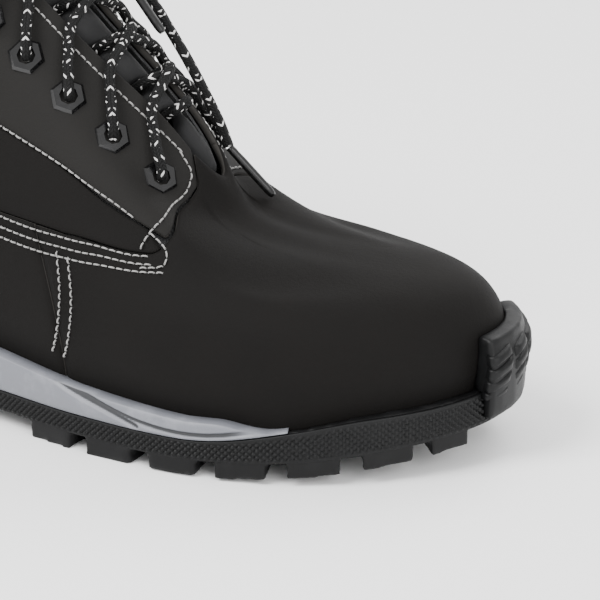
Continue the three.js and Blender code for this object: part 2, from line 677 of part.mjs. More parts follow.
// ---------------------------------------------------------------------------------------------
// Tongue
// ---------------------------------------------------------------------------------------------
// The throat's own frame at a distance d along the facing edge: centre, across, up the shin, outward.
function throat(d) {
  const inRange = THREE.MathUtils.clamp(d, 1, FACING_LENGTH);
  const middle = (at) => last(edgeT(at), 1).add(last(1 - edgeT(at), 1)).multiplyScalar(0.5);
  const [left, right] = [last(edgeT(inRange), 1), last(1 - edgeT(inRange), 1)];
  const centre = middle(inRange);
  const along = middle(Math.min(inRange + 4, FACING_LENGTH))
    .sub(middle(Math.max(inRange - 4, 1))).normalize();
  const lip = last(0.5, 1);
  const toLip = lip.clone().sub(middle(1)).normalize().negate();
  const up = d < 1 ? toLip : along;
  centre.addScaledVector(up, d - inRange);
  const across = new THREE.Vector3(0, 1, 0);
  const out = across.clone().cross(up).normalize();
  return { centre, across, up, out, half: left.distanceTo(right) / 2 };
}

const crownShape = (v) => TONGUE_CROWN - (TONGUE_CROWN + TONGUE_DROP) * Math.abs(v) ** 1.6;
function tongueTop(d, v, lift) {
  const { centre, across, out, half } = throat(d);
  return centre.addScaledVector(across, v * half).addScaledVector(out, crownShape(v) + lift);
}

// Below the corner the pad narrows and dives under the vamp: [d, half width, edge, middle, crown].
const TONGUE_ROOT = [
  [-26, 11, -14.5, -12.5, -11.5], [-19, 12, -14, -11.5, -9.5], [-13.5, 12.5, -14, -10, -7],
  [-8, 12.5, -14, -8.5, 0], [-2, 12.5, -14, -7.5, TONGUE_CROWN],
];
const TONGUE_TOP = [[FACING_LENGTH + 8, 0.95], [FACING_LENGTH + 14, 0.75]];

function tongueSection(points, out) {
  const curve = new THREE.CatmullRomCurve3(points);
  const outer = curve.getPoints(10);
  const inner = outer.map((p) => p.clone().addScaledVector(out, -TONGUE_THICK)).reverse();
  return [...outer, ...inner];
}

function tongueGeometry() {
  const sections = TONGUE_ROOT.map(([d, half, edge, middle, crown]) => {
    const { centre, across, out } = throat(d);
    const at = (y, w) => centre.clone().addScaledVector(across, y).addScaledVector(out, w);
    return tongueSection([
      at(-half, edge), at(-half / 2, middle), at(0, crown), at(half / 2, middle), at(half, edge),
    ], out);
  });
  const bodySection = (d) => {
    const { out } = throat(d);
    const wing = (side, s) => skin(side > 0 ? edgeT(d) : 1 - edgeT(d), s, TONGUE_DROP);
    return tongueSection([
      wing(1, 0.87), wing(1, 0.95), tongueTop(d, -0.7, 0), tongueTop(d, 0, 0),
      tongueTop(d, 0.7, 0), wing(-1, 0.95), wing(-1, 0.87),
    ], out);
  };
  for (let d = 9; d < FACING_LENGTH; d += 14) sections.push(bodySection(d));
  const topSection = bodySection(FACING_LENGTH);
  sections.push(topSection);
  const { centre, up } = throat(FACING_LENGTH);
  for (const [d, scale] of TONGUE_TOP) {
    sections.push(topSection.map((p) => {
      const q = p.clone().addScaledVector(up, d - FACING_LENGTH);
      q.y = centre.y + (q.y - centre.y) * scale;
      return q;
    }));
  }
  return sweep(sections);
}

// ---------------------------------------------------------------------------------------------
// Lace: up both rows of eyelets, out through each hole, over the facing edge and across the tongue,
// then under the opposite facing to the next hole.
// ---------------------------------------------------------------------------------------------
const LACE_DEEP = INSIDE + LACE_WIDTH / 2 + 0.8;
const LACE_OVER = LACE_WIDTH / 2 + 1.5;
const REST = LACE_WIDTH / 2 + 1.3;                // lace centre above what it lies on
const PASS = LACE_WIDTH + 0.7;                  // lift of a lace that passes over another

function throughEyelet(i, side) {
  const d = EYELET_FIRST + i * EYELET_PITCH;
  return [
    facingSpot(d, EYELET_EDGE - 1, LACE_DEEP, side).point,
    facingSpot(d, EYELET_EDGE - 0.1, 4, side).point,
    facingSpot(d, EYELET_EDGE, 1, side).point,
    facingSpot(d, EYELET_EDGE - 0.2, -2.2, side).point,
    facingSpot(d + 1.5, EYELET_EDGE - 5, -LACE_OVER - 1.2, side).point,
  ];
}

// Out of the eyelet on one side, over that facing's edge and under the other one.
function crossing(i, side, above) {
  const d = EYELET_FIRST + i * EYELET_PITCH;
  const lift = above ? PASS : 0;
  const across = (at, v, height) => tongueTop(at, v * -side, height - crownShape(v));
  return [
    facingSpot(d + 4, EYELET_EDGE - 12, -LACE_OVER, side).point,
    facingSpot(d + 6, 1.5, -LACE_OVER, side).point,
    across(d + 8.3, 0.6, LACE_OVER + 0.6 + lift * 0.6),
    across(d + 11, 0, TONGUE_CROWN + REST + lift),
    across(d + 13, -0.34, crownShape(0.34) + REST + lift * 0.6),
    facingSpot(d + 14.6, -0.5, LACE_DEEP + 1, -side).point,
    facingSpot(d + 15.5, 3, LACE_DEEP, -side).point,
    facingSpot(d + 16.8, 10, LACE_DEEP, -side).point,
  ];
}

function laceHalf(side) {
  const route = throughEyelet(0, side);
  for (let i = 0, s = side; i < EYELET_PAIRS - 1; i += 1, s = -s) {
    route.push(...crossing(i, s, (i % 2 === 0) === (side > 0)), ...throughEyelet(i + 1, -s));
  }
  return route.slice(0, -1);
}

const barDepth = (inward, side) => facingSpot(EYELET_FIRST, inward, LACE_DEEP, side).point;
const barAbove = (v) => tongueTop(EYELET_FIRST, v, REST);
const bar = [
  barDepth(10, 1), barDepth(3, 1), barDepth(-0.5, 1), barAbove(-0.34), barAbove(0),
  barAbove(0.34), barDepth(-0.5, -1), barDepth(3, -1), barDepth(10, -1),
];
const laceRoute = [...laceHalf(1).reverse(), ...bar, ...laceHalf(-1)];
add('lace', tube(laceRoute, LACE_WIDTH, 165), laceCord);

// The pad is dented where the lace and the eyelet barrels press into it.
const eyeletRoom = [1, -1].flatMap((side) => Array.from({ length: EYELET_PAIRS }, (_, i) => {
  const { point, normal } = eyeletPlace(i, side);
  return stand(cylinder(EYELET.hole / 2 + EYELET.wall + 0.6, 24, 8), point, normal);
}));
const liningRoom = sweep(linesBetween(0.3625, 0.6375).map((t) => [
  ...[6, 7, 8, 9, 10, 11, 12].map((i) => skin(t, i / S_ROWS, PLY_FLOOR)),
  ...[12, 11, 10, 9, 8, 7, 6].map((i) => skin(t, i / S_ROWS, INSIDE + 0.5)),
]));
// It folds away from under the lace, so the lace's way past it is cleared too.
const TONGUE_PIVOT = { x: 55.4, z: 71.3 };
const folded = (geometry, angle) => geometry.translate(-TONGUE_PIVOT.x, 0, -TONGUE_PIVOT.z)
  .rotateY(angle * Math.PI / 180).translate(TONGUE_PIVOT.x, 0, TONGUE_PIVOT.z);
const LACE_STEPS = [1.2, 3, 5, 7, 9, 11];       // degrees of fold at which room is made
const LINING_STEPS = [1, 2];
const foldRoom = [
  ...LACE_STEPS.map((angle) => folded(tube(laceRoute, LACE_WIDTH + 2, 100), angle)),
  ...LINING_STEPS.map((angle) => folded(liningGeometry.clone(), angle)),
];
add('tongue', trimmed(tongueGeometry(), [
  tube(laceRoute, LACE_WIDTH + 1, 165), ...foldRoom, ...eyeletRoom, liningRoom, liningGeometry,
]), collarCloth);

// The two free ends leave the top eyelets, turn over the facing edges and fall forwards over the
// crossings.
const MOUTH = 2.7;               // above the leather, just clear of the end of the woven lace
const at = (x, y, z) => new THREE.Vector3(x, y, z).multiply(grade);
function laceEnd(name, side, points, tip) {
  const { point, normal } = eyeletPlace(EYELET_PAIRS - 1, side);
  const out = (height) => point.clone().addScaledVector(normal, height);
  const route = [out(MOUTH), out(MOUTH + 2.4), ...points];
  add(`lace_end_${name}`, tube(route, LACE_WIDTH, 44), laceCord);
  const root = points.at(-1);
  const along = tip.clone().sub(root).normalize();
  add(`aglet_${name}`, stand(
    cylinder(AGLET.width / 2, AGLET.length, 8), root.clone().addScaledVector(
      along, AGLET.length / 2 + 0.6), along), agletFilm);
}
laceEnd('medial', -1, [
  at(-13.4, 26.4, 143), at(-13, 21, 149.4), at(-9, 16.8, 152.6), at(-2, 16, 150.5),
  at(6, 18.5, 144), at(14, 20, 138), at(21.3, 20, 132.6), at(30, 17, 124.5), at(38.3, 14, 116.4),
  at(46, 12.5, 106), at(51.5, 12, 97), at(54.8, 12, 89.5),
], at(65.5, 17, 76));
laceEnd('lateral', 1, [
  at(-13.4, -26.6, 143), at(-13, -20.8, 149.8), at(-13.4, -14.5, 154.8), at(-12, -7.5, 158.6),
  at(-7, -1.5, 160.2), at(0, 4, 157.5), at(8, 9, 151), at(15.7, 12, 142.4),
], at(29.9, 10, 127.4));

// ---------------------------------------------------------------------------------------------
// Heel pull loop
// ---------------------------------------------------------------------------------------------
const COLLAR_BULGE = 3;
const tabDepth = -(COLLAR_BULGE + PLY_GAP);
add('heel_loop_tab', panel({
  from: -LOOP.width / 1200, to: LOOP.width / 1200, low: LOOP.tabLow, high: LOOP.tabHigh, rows: 3,
  outer: tabDepth - LOOP.thick, inner: tabDepth,
}), webbing);
{
  const { thick, height, depth, width } = LOOP;
  const root = skin(0, LOOP.tabHigh, tabDepth - thick / 2);
  const outline = (inset) => {
    const w = depth / 2 - inset;
    const foot = inset > 0 ? 0.4 : 2;
    const rise = inset * 2.2;
    const side = [
      [foot, rise], [w * 0.45, height * 0.25], [w * 0.85, height * 0.5], [w, height - depth / 2],
      [w * 0.87, height - depth / 2 + w * 0.5], [w * 0.5, height - depth / 2 + w * 0.87],
    ];
    const top = [[0, height - depth / 2 + w]];
    const points = [...side, ...top, ...side.map(([x, z]) => [-x, z]).reverse()];
    return points.map(([x, z]) => new THREE.Vector2(x, z));
  };
  const shape = new THREE.Shape(outline(0));
  shape.holes.push(new THREE.Path(outline(thick)));
  const geometry = new THREE.ExtrudeGeometry(shape, { depth: width, bevelEnabled: false });
  geometry.translate(0, 0, -width / 2).rotateX(Math.PI / 2).rotateY(LOOP.lean)
    .translate(root.x, 0, root.z + 0.7);
  add('heel_pull_loop', geometry, webbing);
}

// ---------------------------------------------------------------------------------------------
// The origin goes to the middle of the footprint, on the ground.
// ---------------------------------------------------------------------------------------------
const reach = new THREE.Box3();
for (const mesh of boot.children) {
  if (!/^(lace|aglet)_/.test(mesh.name)) reach.expandByObject(mesh);
}
const middle = reach.getCenter(new THREE.Vector3());
for (const mesh of boot.children) mesh.geometry.translate(-middle.x, -middle.y, -reach.min.z);

export default boot;
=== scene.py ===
"""Looks of the steel toe work boot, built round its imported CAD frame.

The upper is laid out on one last surface: t runs once round the foot from the back of the heel by
the lateral side to the toe (0.5) and back by the medial side, and s runs from the feather edge (0)
to the topline (1). Lengths are in millimetres until a mesh is made; meshes are in metres.
"""

from __future__ import annotations

import json
import logging
import math
from dataclasses import dataclass, field
from enum import Enum
from typing import Callable, Sequence

import bmesh  # noqa: E402
import bpy  # noqa: E402
import numpy as np  # noqa: E402
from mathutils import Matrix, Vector  # noqa: E402

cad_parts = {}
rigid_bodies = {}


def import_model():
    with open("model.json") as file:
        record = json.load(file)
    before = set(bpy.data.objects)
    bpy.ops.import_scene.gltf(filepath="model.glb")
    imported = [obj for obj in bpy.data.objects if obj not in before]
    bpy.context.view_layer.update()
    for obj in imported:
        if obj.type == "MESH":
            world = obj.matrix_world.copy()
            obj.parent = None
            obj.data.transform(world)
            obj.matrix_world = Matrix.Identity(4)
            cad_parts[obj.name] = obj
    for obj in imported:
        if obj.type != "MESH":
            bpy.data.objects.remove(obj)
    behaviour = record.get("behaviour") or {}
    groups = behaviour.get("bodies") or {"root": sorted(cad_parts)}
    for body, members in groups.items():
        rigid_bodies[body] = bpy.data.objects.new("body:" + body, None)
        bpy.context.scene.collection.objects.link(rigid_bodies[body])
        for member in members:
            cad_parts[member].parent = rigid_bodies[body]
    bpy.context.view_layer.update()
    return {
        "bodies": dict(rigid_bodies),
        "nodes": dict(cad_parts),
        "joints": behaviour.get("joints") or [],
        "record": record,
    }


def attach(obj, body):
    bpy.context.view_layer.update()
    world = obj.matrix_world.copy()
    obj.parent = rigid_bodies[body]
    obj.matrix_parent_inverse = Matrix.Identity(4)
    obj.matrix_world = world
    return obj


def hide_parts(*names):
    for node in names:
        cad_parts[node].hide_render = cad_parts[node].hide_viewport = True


LOG = logging.getLogger("boot")
MM = 0.001
Array = np.ndarray
Line = Callable[[Array], Array]
BODY = "boot"


class Side(Enum):
    """The two sides of the foot."""

    LATERAL = 1
    MEDIAL = -1

    @property
    def label(self) -> str:
        """The side's name as the CAD nodes use it."""
        return self.name.lower()

    def turn(self, t: Array | float) -> Array | float:
        """Mirrors a lateral t to this side."""
        return t if self is Side.LATERAL else 1 - t


def smooth(low: float, high: float, x: Array | float) -> Array:
    """Smoothstep of x from low to high."""
    f = np.clip((np.asarray(x, float) - low) / (high - low), 0, 1)
    return f * f * (3 - 2 * f)


def unit(v: Array) -> Array:
    """Vectors scaled to length one."""
    return v / np.maximum(np.linalg.norm(v, axis=-1, keepdims=True), 1e-9)


def catmull(points: Sequence[Sequence[float]], step: float) -> Array:
    """A centripetal Catmull-Rom curve through points, resampled evenly.

    Args:
        points: The points to pass through.
        step: Distance between samples, in the points' own unit.

    Returns:
        An array of samples, ends included.
    """
    p = np.asarray(points, float)
    p = np.vstack([2 * p[0] - p[1], p, 2 * p[-1] - p[-2]])
    out = []
    for i in range(len(p) - 3):
        q = p[i:i + 4]
        knots = np.concatenate([[0], np.cumsum(np.maximum(
            np.linalg.norm(np.diff(q, axis=0), axis=1), 1e-6) ** 0.5)])
        u = np.linspace(knots[1], knots[2], 24, endpoint=False)[:, None]

        def mix(a: Array, b: Array, ka: float, kb: float) -> Array:
            """Blends two rows of values in the measure that u lies between two knots."""
            return (a * (kb - u) + b * (u - ka)) / (kb - ka)

        a1, a2, a3 = (mix(q[k], q[k + 1], knots[k], knots[k + 1]) for k in range(3))
        b1, b2 = mix(a1, a2, knots[0], knots[2]), mix(a2, a3, knots[1], knots[3])
        out.append(mix(b1, b2, knots[1], knots[2]))
    out.append(p[-2][None])
    return resample(np.vstack(out), step)


def resample(line: Array, step: float) -> Array:
    """Evenly spaced samples along a polyline."""
    along = np.concatenate([[0], np.cumsum(np.linalg.norm(np.diff(line, axis=0), axis=1))])
    count = max(2, int(round(along[-1] / step)) + 1)
    at = np.linspace(0, along[-1], count)
    return np.stack([np.interp(at, along, line[:, k]) for k in range(line.shape[1])], axis=1)


# ---------------------------------------------------------------------------------------------
# The last and the seam lines on it
# ---------------------------------------------------------------------------------------------
@dataclass(frozen=True)
class Last:
    """The surface that the upper is drawn over, with rows from the feather edge to the topline.

    Each row has eleven stations from heel to toe: x, z, lateral and medial half width.
    """

    origin: tuple[float, float, float] = (3.109, -0.4824, 0.0)
    rows: tuple = (
        ((-149, 35, 0, 0), (-143, 35, 19, 19), (-120, 34.5, 33, 32.5), (-85, 33, 36.5, 35),
         (-45, 30, 37.5, 31.5), (-5, 26, 42, 33.5), (35, 22, 48.5, 42), (75, 19.5, 49, 48.5),
         (112, 21, 38, 47), (141.5, 23.5, 13, 34), (152, 25, -12, 12)),
        ((-151.5, 49, 0, 0), (-145, 49, 20.5, 20.5), (-121, 48, 36, 35.5), (-85, 47, 39.5, 38.5),
         (-46, 45, 40.5, 37), (-7, 41, 44.5, 38), (34, 36, 50, 45), (73, 33, 51, 50.5),
         (112, 35, 39.5, 48.5), (143, 36.5, 13.5, 35), (154, 37.5, -12, 12)),
        ((-151.5, 67, 0, 0), (-145, 67, 20, 20), (-121, 66.5, 35, 34.5), (-85, 66, 38.5, 38),
         (-48, 64, 39.5, 38), (-11, 60, 42.5, 39.5), (28, 53, 47.5, 45), (66, 48, 48.5, 48),
         (110, 47.5, 38, 46), (141.5, 48, 13, 33), (152, 48.5, -11.5, 11.5)),
        ((-148.5, 86, 0, 0), (-142, 86, 18.5, 18.5), (-119, 87, 33.5, 33), (-84, 88, 37, 37),
         (-51, 87, 37.5, 36.5), (-16, 81, 38, 37.5), (19, 71, 42, 41), (57, 59.5, 43.5, 41.5),
         (99, 57, 35, 41), (131, 57, 11, 29.5), (142, 57.5, -10.5, 10.5)),
        ((-145.5, 108, 0, 0), (-138, 109, 18, 18), (-116, 111, 33, 32.5), (-83, 113, 37.5, 37),
         (-53, 112, 35.5, 35), (-21, 105, 33, 32.5), (9, 93.5, 35, 34.5), (43, 74, 36.5, 34.5),
         (81, 62.5, 30, 31), (108, 62, 9, 20), (117, 61.5, -7.5, 7.5)),
        ((-143.5, 133, 0, 0), (-135.5, 134, 19, 19), (-114, 136, 33.5, 33),
         (-81.5, 139, 38, 37.5), (-54, 141, 32, 31.5), (-30, 142, 26.5, 26), (-6, 125, 26.5, 26),
         (21, 104, 26.5, 25.5), (48, 82.5, 21.5, 19.5), (67, 70, 8, 11), (73, 68.5, -3, 3)),
        ((-143, 158, 0, 0), (-134, 159, 19, 19), (-112, 161, 33, 32.5), (-80, 163, 36, 35.5),
         (-52, 164, 27, 27), (-31, 162, 16, 16), (-7, 144, 13, 13), (17, 124, 11.5, 11.5),
         (41, 105, 9, 9), (54, 91, 6.5, 6.5), (59, 83.5, -1, 1)),
    )

    def grid(self) -> Array:
        """Control points by row and column, with one extrapolated row at each end."""
        rows = np.array(self.rows, float)
        lateral = np.stack([rows[..., 0], -rows[..., 2], rows[..., 1]], axis=-1)
        medial = np.stack([rows[..., 0], rows[..., 3], rows[..., 1]], axis=-1)
        ring = np.concatenate([lateral, medial[:, -2:0:-1]], axis=1) - np.array(self.origin)
        return np.concatenate([2 * ring[:1] - ring[1:2], ring, 2 * ring[-1:] - ring[-2:-1]])

    def point(self, t: Array | float, s: Array | float) -> Array:
        """Points of the last at t, s."""
        t, s = np.broadcast_arrays(np.asarray(t, float), np.asarray(s, float))
        grid = _grid(self)
        columns, top = grid.shape[1], grid.shape[0] - 3
        a = (t % 1) * columns
        b = np.clip(s, 0, 1) * top
        j, k = np.floor(a).astype(int), np.minimum(np.floor(b).astype(int), top - 1)
        wt, ws = self.weights(a - j), self.weights(b - k)
        out = np.zeros(t.shape + (3,))
        for m in range(4):
            for n in range(4):
                out += (ws[m] * wt[n])[..., None] * grid[k + m, (j + n - 1) % columns]
        out[..., 2] += np.minimum(s, 0) * 100
        return out

    @staticmethod
    def weights(f: Array) -> tuple[Array, Array, Array, Array]:
        """Catmull-Rom weights."""
        return ((-f + 2 * f * f - f ** 3) / 2, (2 - 5 * f * f + 3 * f ** 3) / 2,
                (f + 4 * f * f - 3 * f ** 3) / 2, (-f * f + f ** 3) / 2)

    def normal(self, t: Array | float, s: Array | float) -> Array:
        """Outward normals."""
        t, s = np.broadcast_arrays(np.asarray(t, float), np.asarray(s, float))
        along = self.point(t + 0.002, s) - self.point(t - 0.002, s)
        up = self.point(t, np.minimum(s + 0.01, 1)) - self.point(t, s - 0.01)
        return unit(np.cross(along, up))

    def skin(self, t: Array | float, s: Array | float, lift: Array | float) -> Array:
        """Points that stand a distance outside the last."""
        n = self.normal(t, s)
        return self.point(t, s) + n * np.broadcast_to(np.asarray(lift, float), n.shape[:-1])[..., None]


_GRIDS: dict[Last, Array] = {}


def _grid(last: Last) -> Array:
    """The last's control grid, worked out once."""
    if last not in _GRIDS:
        _GRIDS[last] = last.grid()
    return _GRIDS[last]


def seam_line(*points: tuple[float, float]) -> Line:
    """A seam line s(t), given on the lateral side and mirrored to the medial side."""
    ts, ss = zip(*points)

    def line(t: Array) -> Array:
        """The seam's s at each t, the same on both sides of the foot."""
        wrapped = np.asarray(t, float) % 1
        return np.interp(np.minimum(wrapped, 1 - wrapped), ts, ss)

    return line


LAST = Last()
LEATHER, PLY_GAP, STIFFENER, LINING = 2.0, 0.35, 1.8, 1.2
PLY_FLOOR = LEATHER + PLY_GAP + STIFFENER
INSIDE = LEATHER + STIFFENER + LINING + 2 * PLY_GAP
FOOT = -0.0465
VAMP_SIDE, TIP, CORNER = 0.29, 0.36, 0.4425
COLLAR_END, COLLAR_LOW, BACKSTAY = 0.19, 0.84, 0.025
T_MM, S_MM = 480.0, 105.0        # length of one t and one s over the side of the foot
QUARTER_BASE = seam_line(
    (0, 0.46), (0.2, 0.44), (0.2675, 0.463), (0.307, 0.51), (0.3293, 0.559), (TIP, 0.635),
    (0.375, 0.7), (0.4035, 0.797), (0.4234, 0.861), (0.4375, 0.917), (CORNER, 1), (0.51, 1))
FACING_BASE = seam_line(
    (0, COLLAR_LOW), (COLLAR_END, COLLAR_LOW), (0.21, 0.76), (0.24, 0.69), (0.275, 0.666),
    (0.3, 0.676), (0.33, 0.7), (0.36, 0.705), (0.51, 0.705))


# ---------------------------------------------------------------------------------------------
# Meshes
# ---------------------------------------------------------------------------------------------
class Maker:
    """Turns arrays into shown pieces."""

    @staticmethod
    def mesh(name: str, verts: Array, faces: Sequence[Sequence[int]], material: bpy.types.Material,
             body: str = BODY, raw: Array | None = None,
             uv: Array | None = None) -> bpy.types.Object:
        """Makes a mesh object that rides on a body.

        Args:
            name: The piece's name.
            verts: Vertices in millimetres.
            faces: Vertex indices of each face.
            material: The material of all faces.
            body: The CAD body it rides on.
            raw: Optional value of each face, 1 where a cut edge shows; on the midsole it gives the strength
                of painted shade in the grooves.
            uv: Optional texture coordinates of each vertex.

        Returns:
            The new object.
        """
        data = bpy.data.meshes.new(name)
        data.from_pydata((np.asarray(verts) * MM).tolist(), [], [list(map(int, f)) for f in faces])
        data.materials.append(material)
        if raw is not None:
            data.attributes.new("raw", "FLOAT", "FACE").data.foreach_set("value", np.asarray(raw, np.float32))
        if uv is not None:
            loops = np.zeros(len(data.loops), np.int32)
            data.loops.foreach_get("vertex_index", loops)
            data.uv_layers.new(name="run").data.foreach_set("uv", np.asarray(uv, np.float32)[loops].ravel())
        data.update()
        fixed = bmesh.new()
        fixed.from_mesh(data)
        bmesh.ops.recalc_face_normals(fixed, faces=fixed.faces)
        fixed.to_mesh(data)
        fixed.free()
        data.polygons.foreach_set("use_smooth", [True] * len(data.polygons))
        piece = bpy.data.objects.new(name, data)
        bpy.context.scene.collection.objects.link(piece)
        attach(piece, body)
        LOG.info("%s: %d faces on %s", name, len(faces), body)
        return piece

    @staticmethod
    def shell(outer: Array, inner: Array, wrap: bool = False) -> tuple[Array, list, Array]:
        """A closed shell from two grids of the same shape.

        Args:
            outer: Grid of outside points, columns by rows.
            inner: Grid of inside points.
            wrap: Whether the columns close into a ring.

        Returns:
            Vertices, faces and the value that marks faces of the cut edge.
        """
        n, m = outer.shape[:2]
        verts = np.concatenate([outer.reshape(-1, 3), inner.reshape(-1, 3)])
        at = np.arange(n * m).reshape(n, m)
        if wrap:
            at = np.concatenate([at, at[:1]])
        quads = np.stack([at[:-1, :-1], at[1:, :-1], at[1:, 1:], at[:-1, 1:]], -1).reshape(-1, 4)
        back = quads[:, ::-1] + n * m
        rims = [at[:, 0], at[:, -1]]
        if not wrap:
            rims += [at[0], at[-1]]
        edge = []
        for line in rims:
            edge.append(np.stack([line[:-1], line[1:], line[1:] + n * m, line[:-1] + n * m], -1))
        edges = np.concatenate(edge)
        faces = np.concatenate([quads, back, edges])
        raw = np.concatenate([np.zeros(2 * len(quads)), np.ones(len(edges))])
        return verts, faces.tolist(), raw

    @staticmethod
    def tube(path: Array, radius: Array | float, sides: int = 12) -> tuple[Array, list, Array]:
        """A round tube with closed ends along a path.

        Args:
            path: Points of the centre line.
            radius: One radius, or one for each point.
            sides: Number of sides.

        Returns:
            Vertices, faces and texture coordinates: turns round, millimetres along.
        """
        path = np.asarray(path, float)
        tangent = unit(np.gradient(path, axis=0))
        up = np.zeros_like(path)
        guess = np.array([0.0, 0.0, 1.0]) if abs(tangent[0][2]) < 0.9 else np.array([1.0, 0, 0])
        for i, axis in enumerate(tangent):
            guess = unit(guess - axis * guess.dot(axis))
            up[i] = guess
        right = np.cross(tangent, up)
        angle = np.linspace(0, 2 * math.pi, sides, endpoint=False)
        rim = np.cos(angle)[None, :, None] * right[:, None] + np.sin(angle)[None, :, None] * up[:, None]
        rings = path[:, None] + rim * np.broadcast_to(radius, len(path))[:, None, None]
        n = len(path)
        at = np.arange(n * sides).reshape(n, sides)
        nxt = np.roll(at, -1, axis=1)
        faces = np.stack([at[:-1], nxt[:-1], nxt[1:], at[1:]], -1).reshape(-1, 4).tolist()
        faces += [at[0].tolist()[::-1], at[-1].tolist()]
        along = np.concatenate([[0], np.cumsum(np.linalg.norm(np.diff(path, axis=0), axis=1))])
        turns = np.abs(np.linspace(-1, 1, sides, endpoint=False))
        uv = np.stack([np.broadcast_to(turns, (n, sides)), np.broadcast_to(along[:, None], (n, sides))], -1)
        return rings.reshape(-1, 3), faces, uv.reshape(-1, 2)

    @staticmethod
    def join(parts: Sequence[tuple]) -> tuple[Array, list]:
        """Several vertex and face lists as one."""
        verts, faces, base = [], [], 0
        for v, f, *_ in parts:
            verts.append(v)
            faces += [[i + base for i in face] for face in f]
            base += len(v)
        return np.concatenate(verts), faces


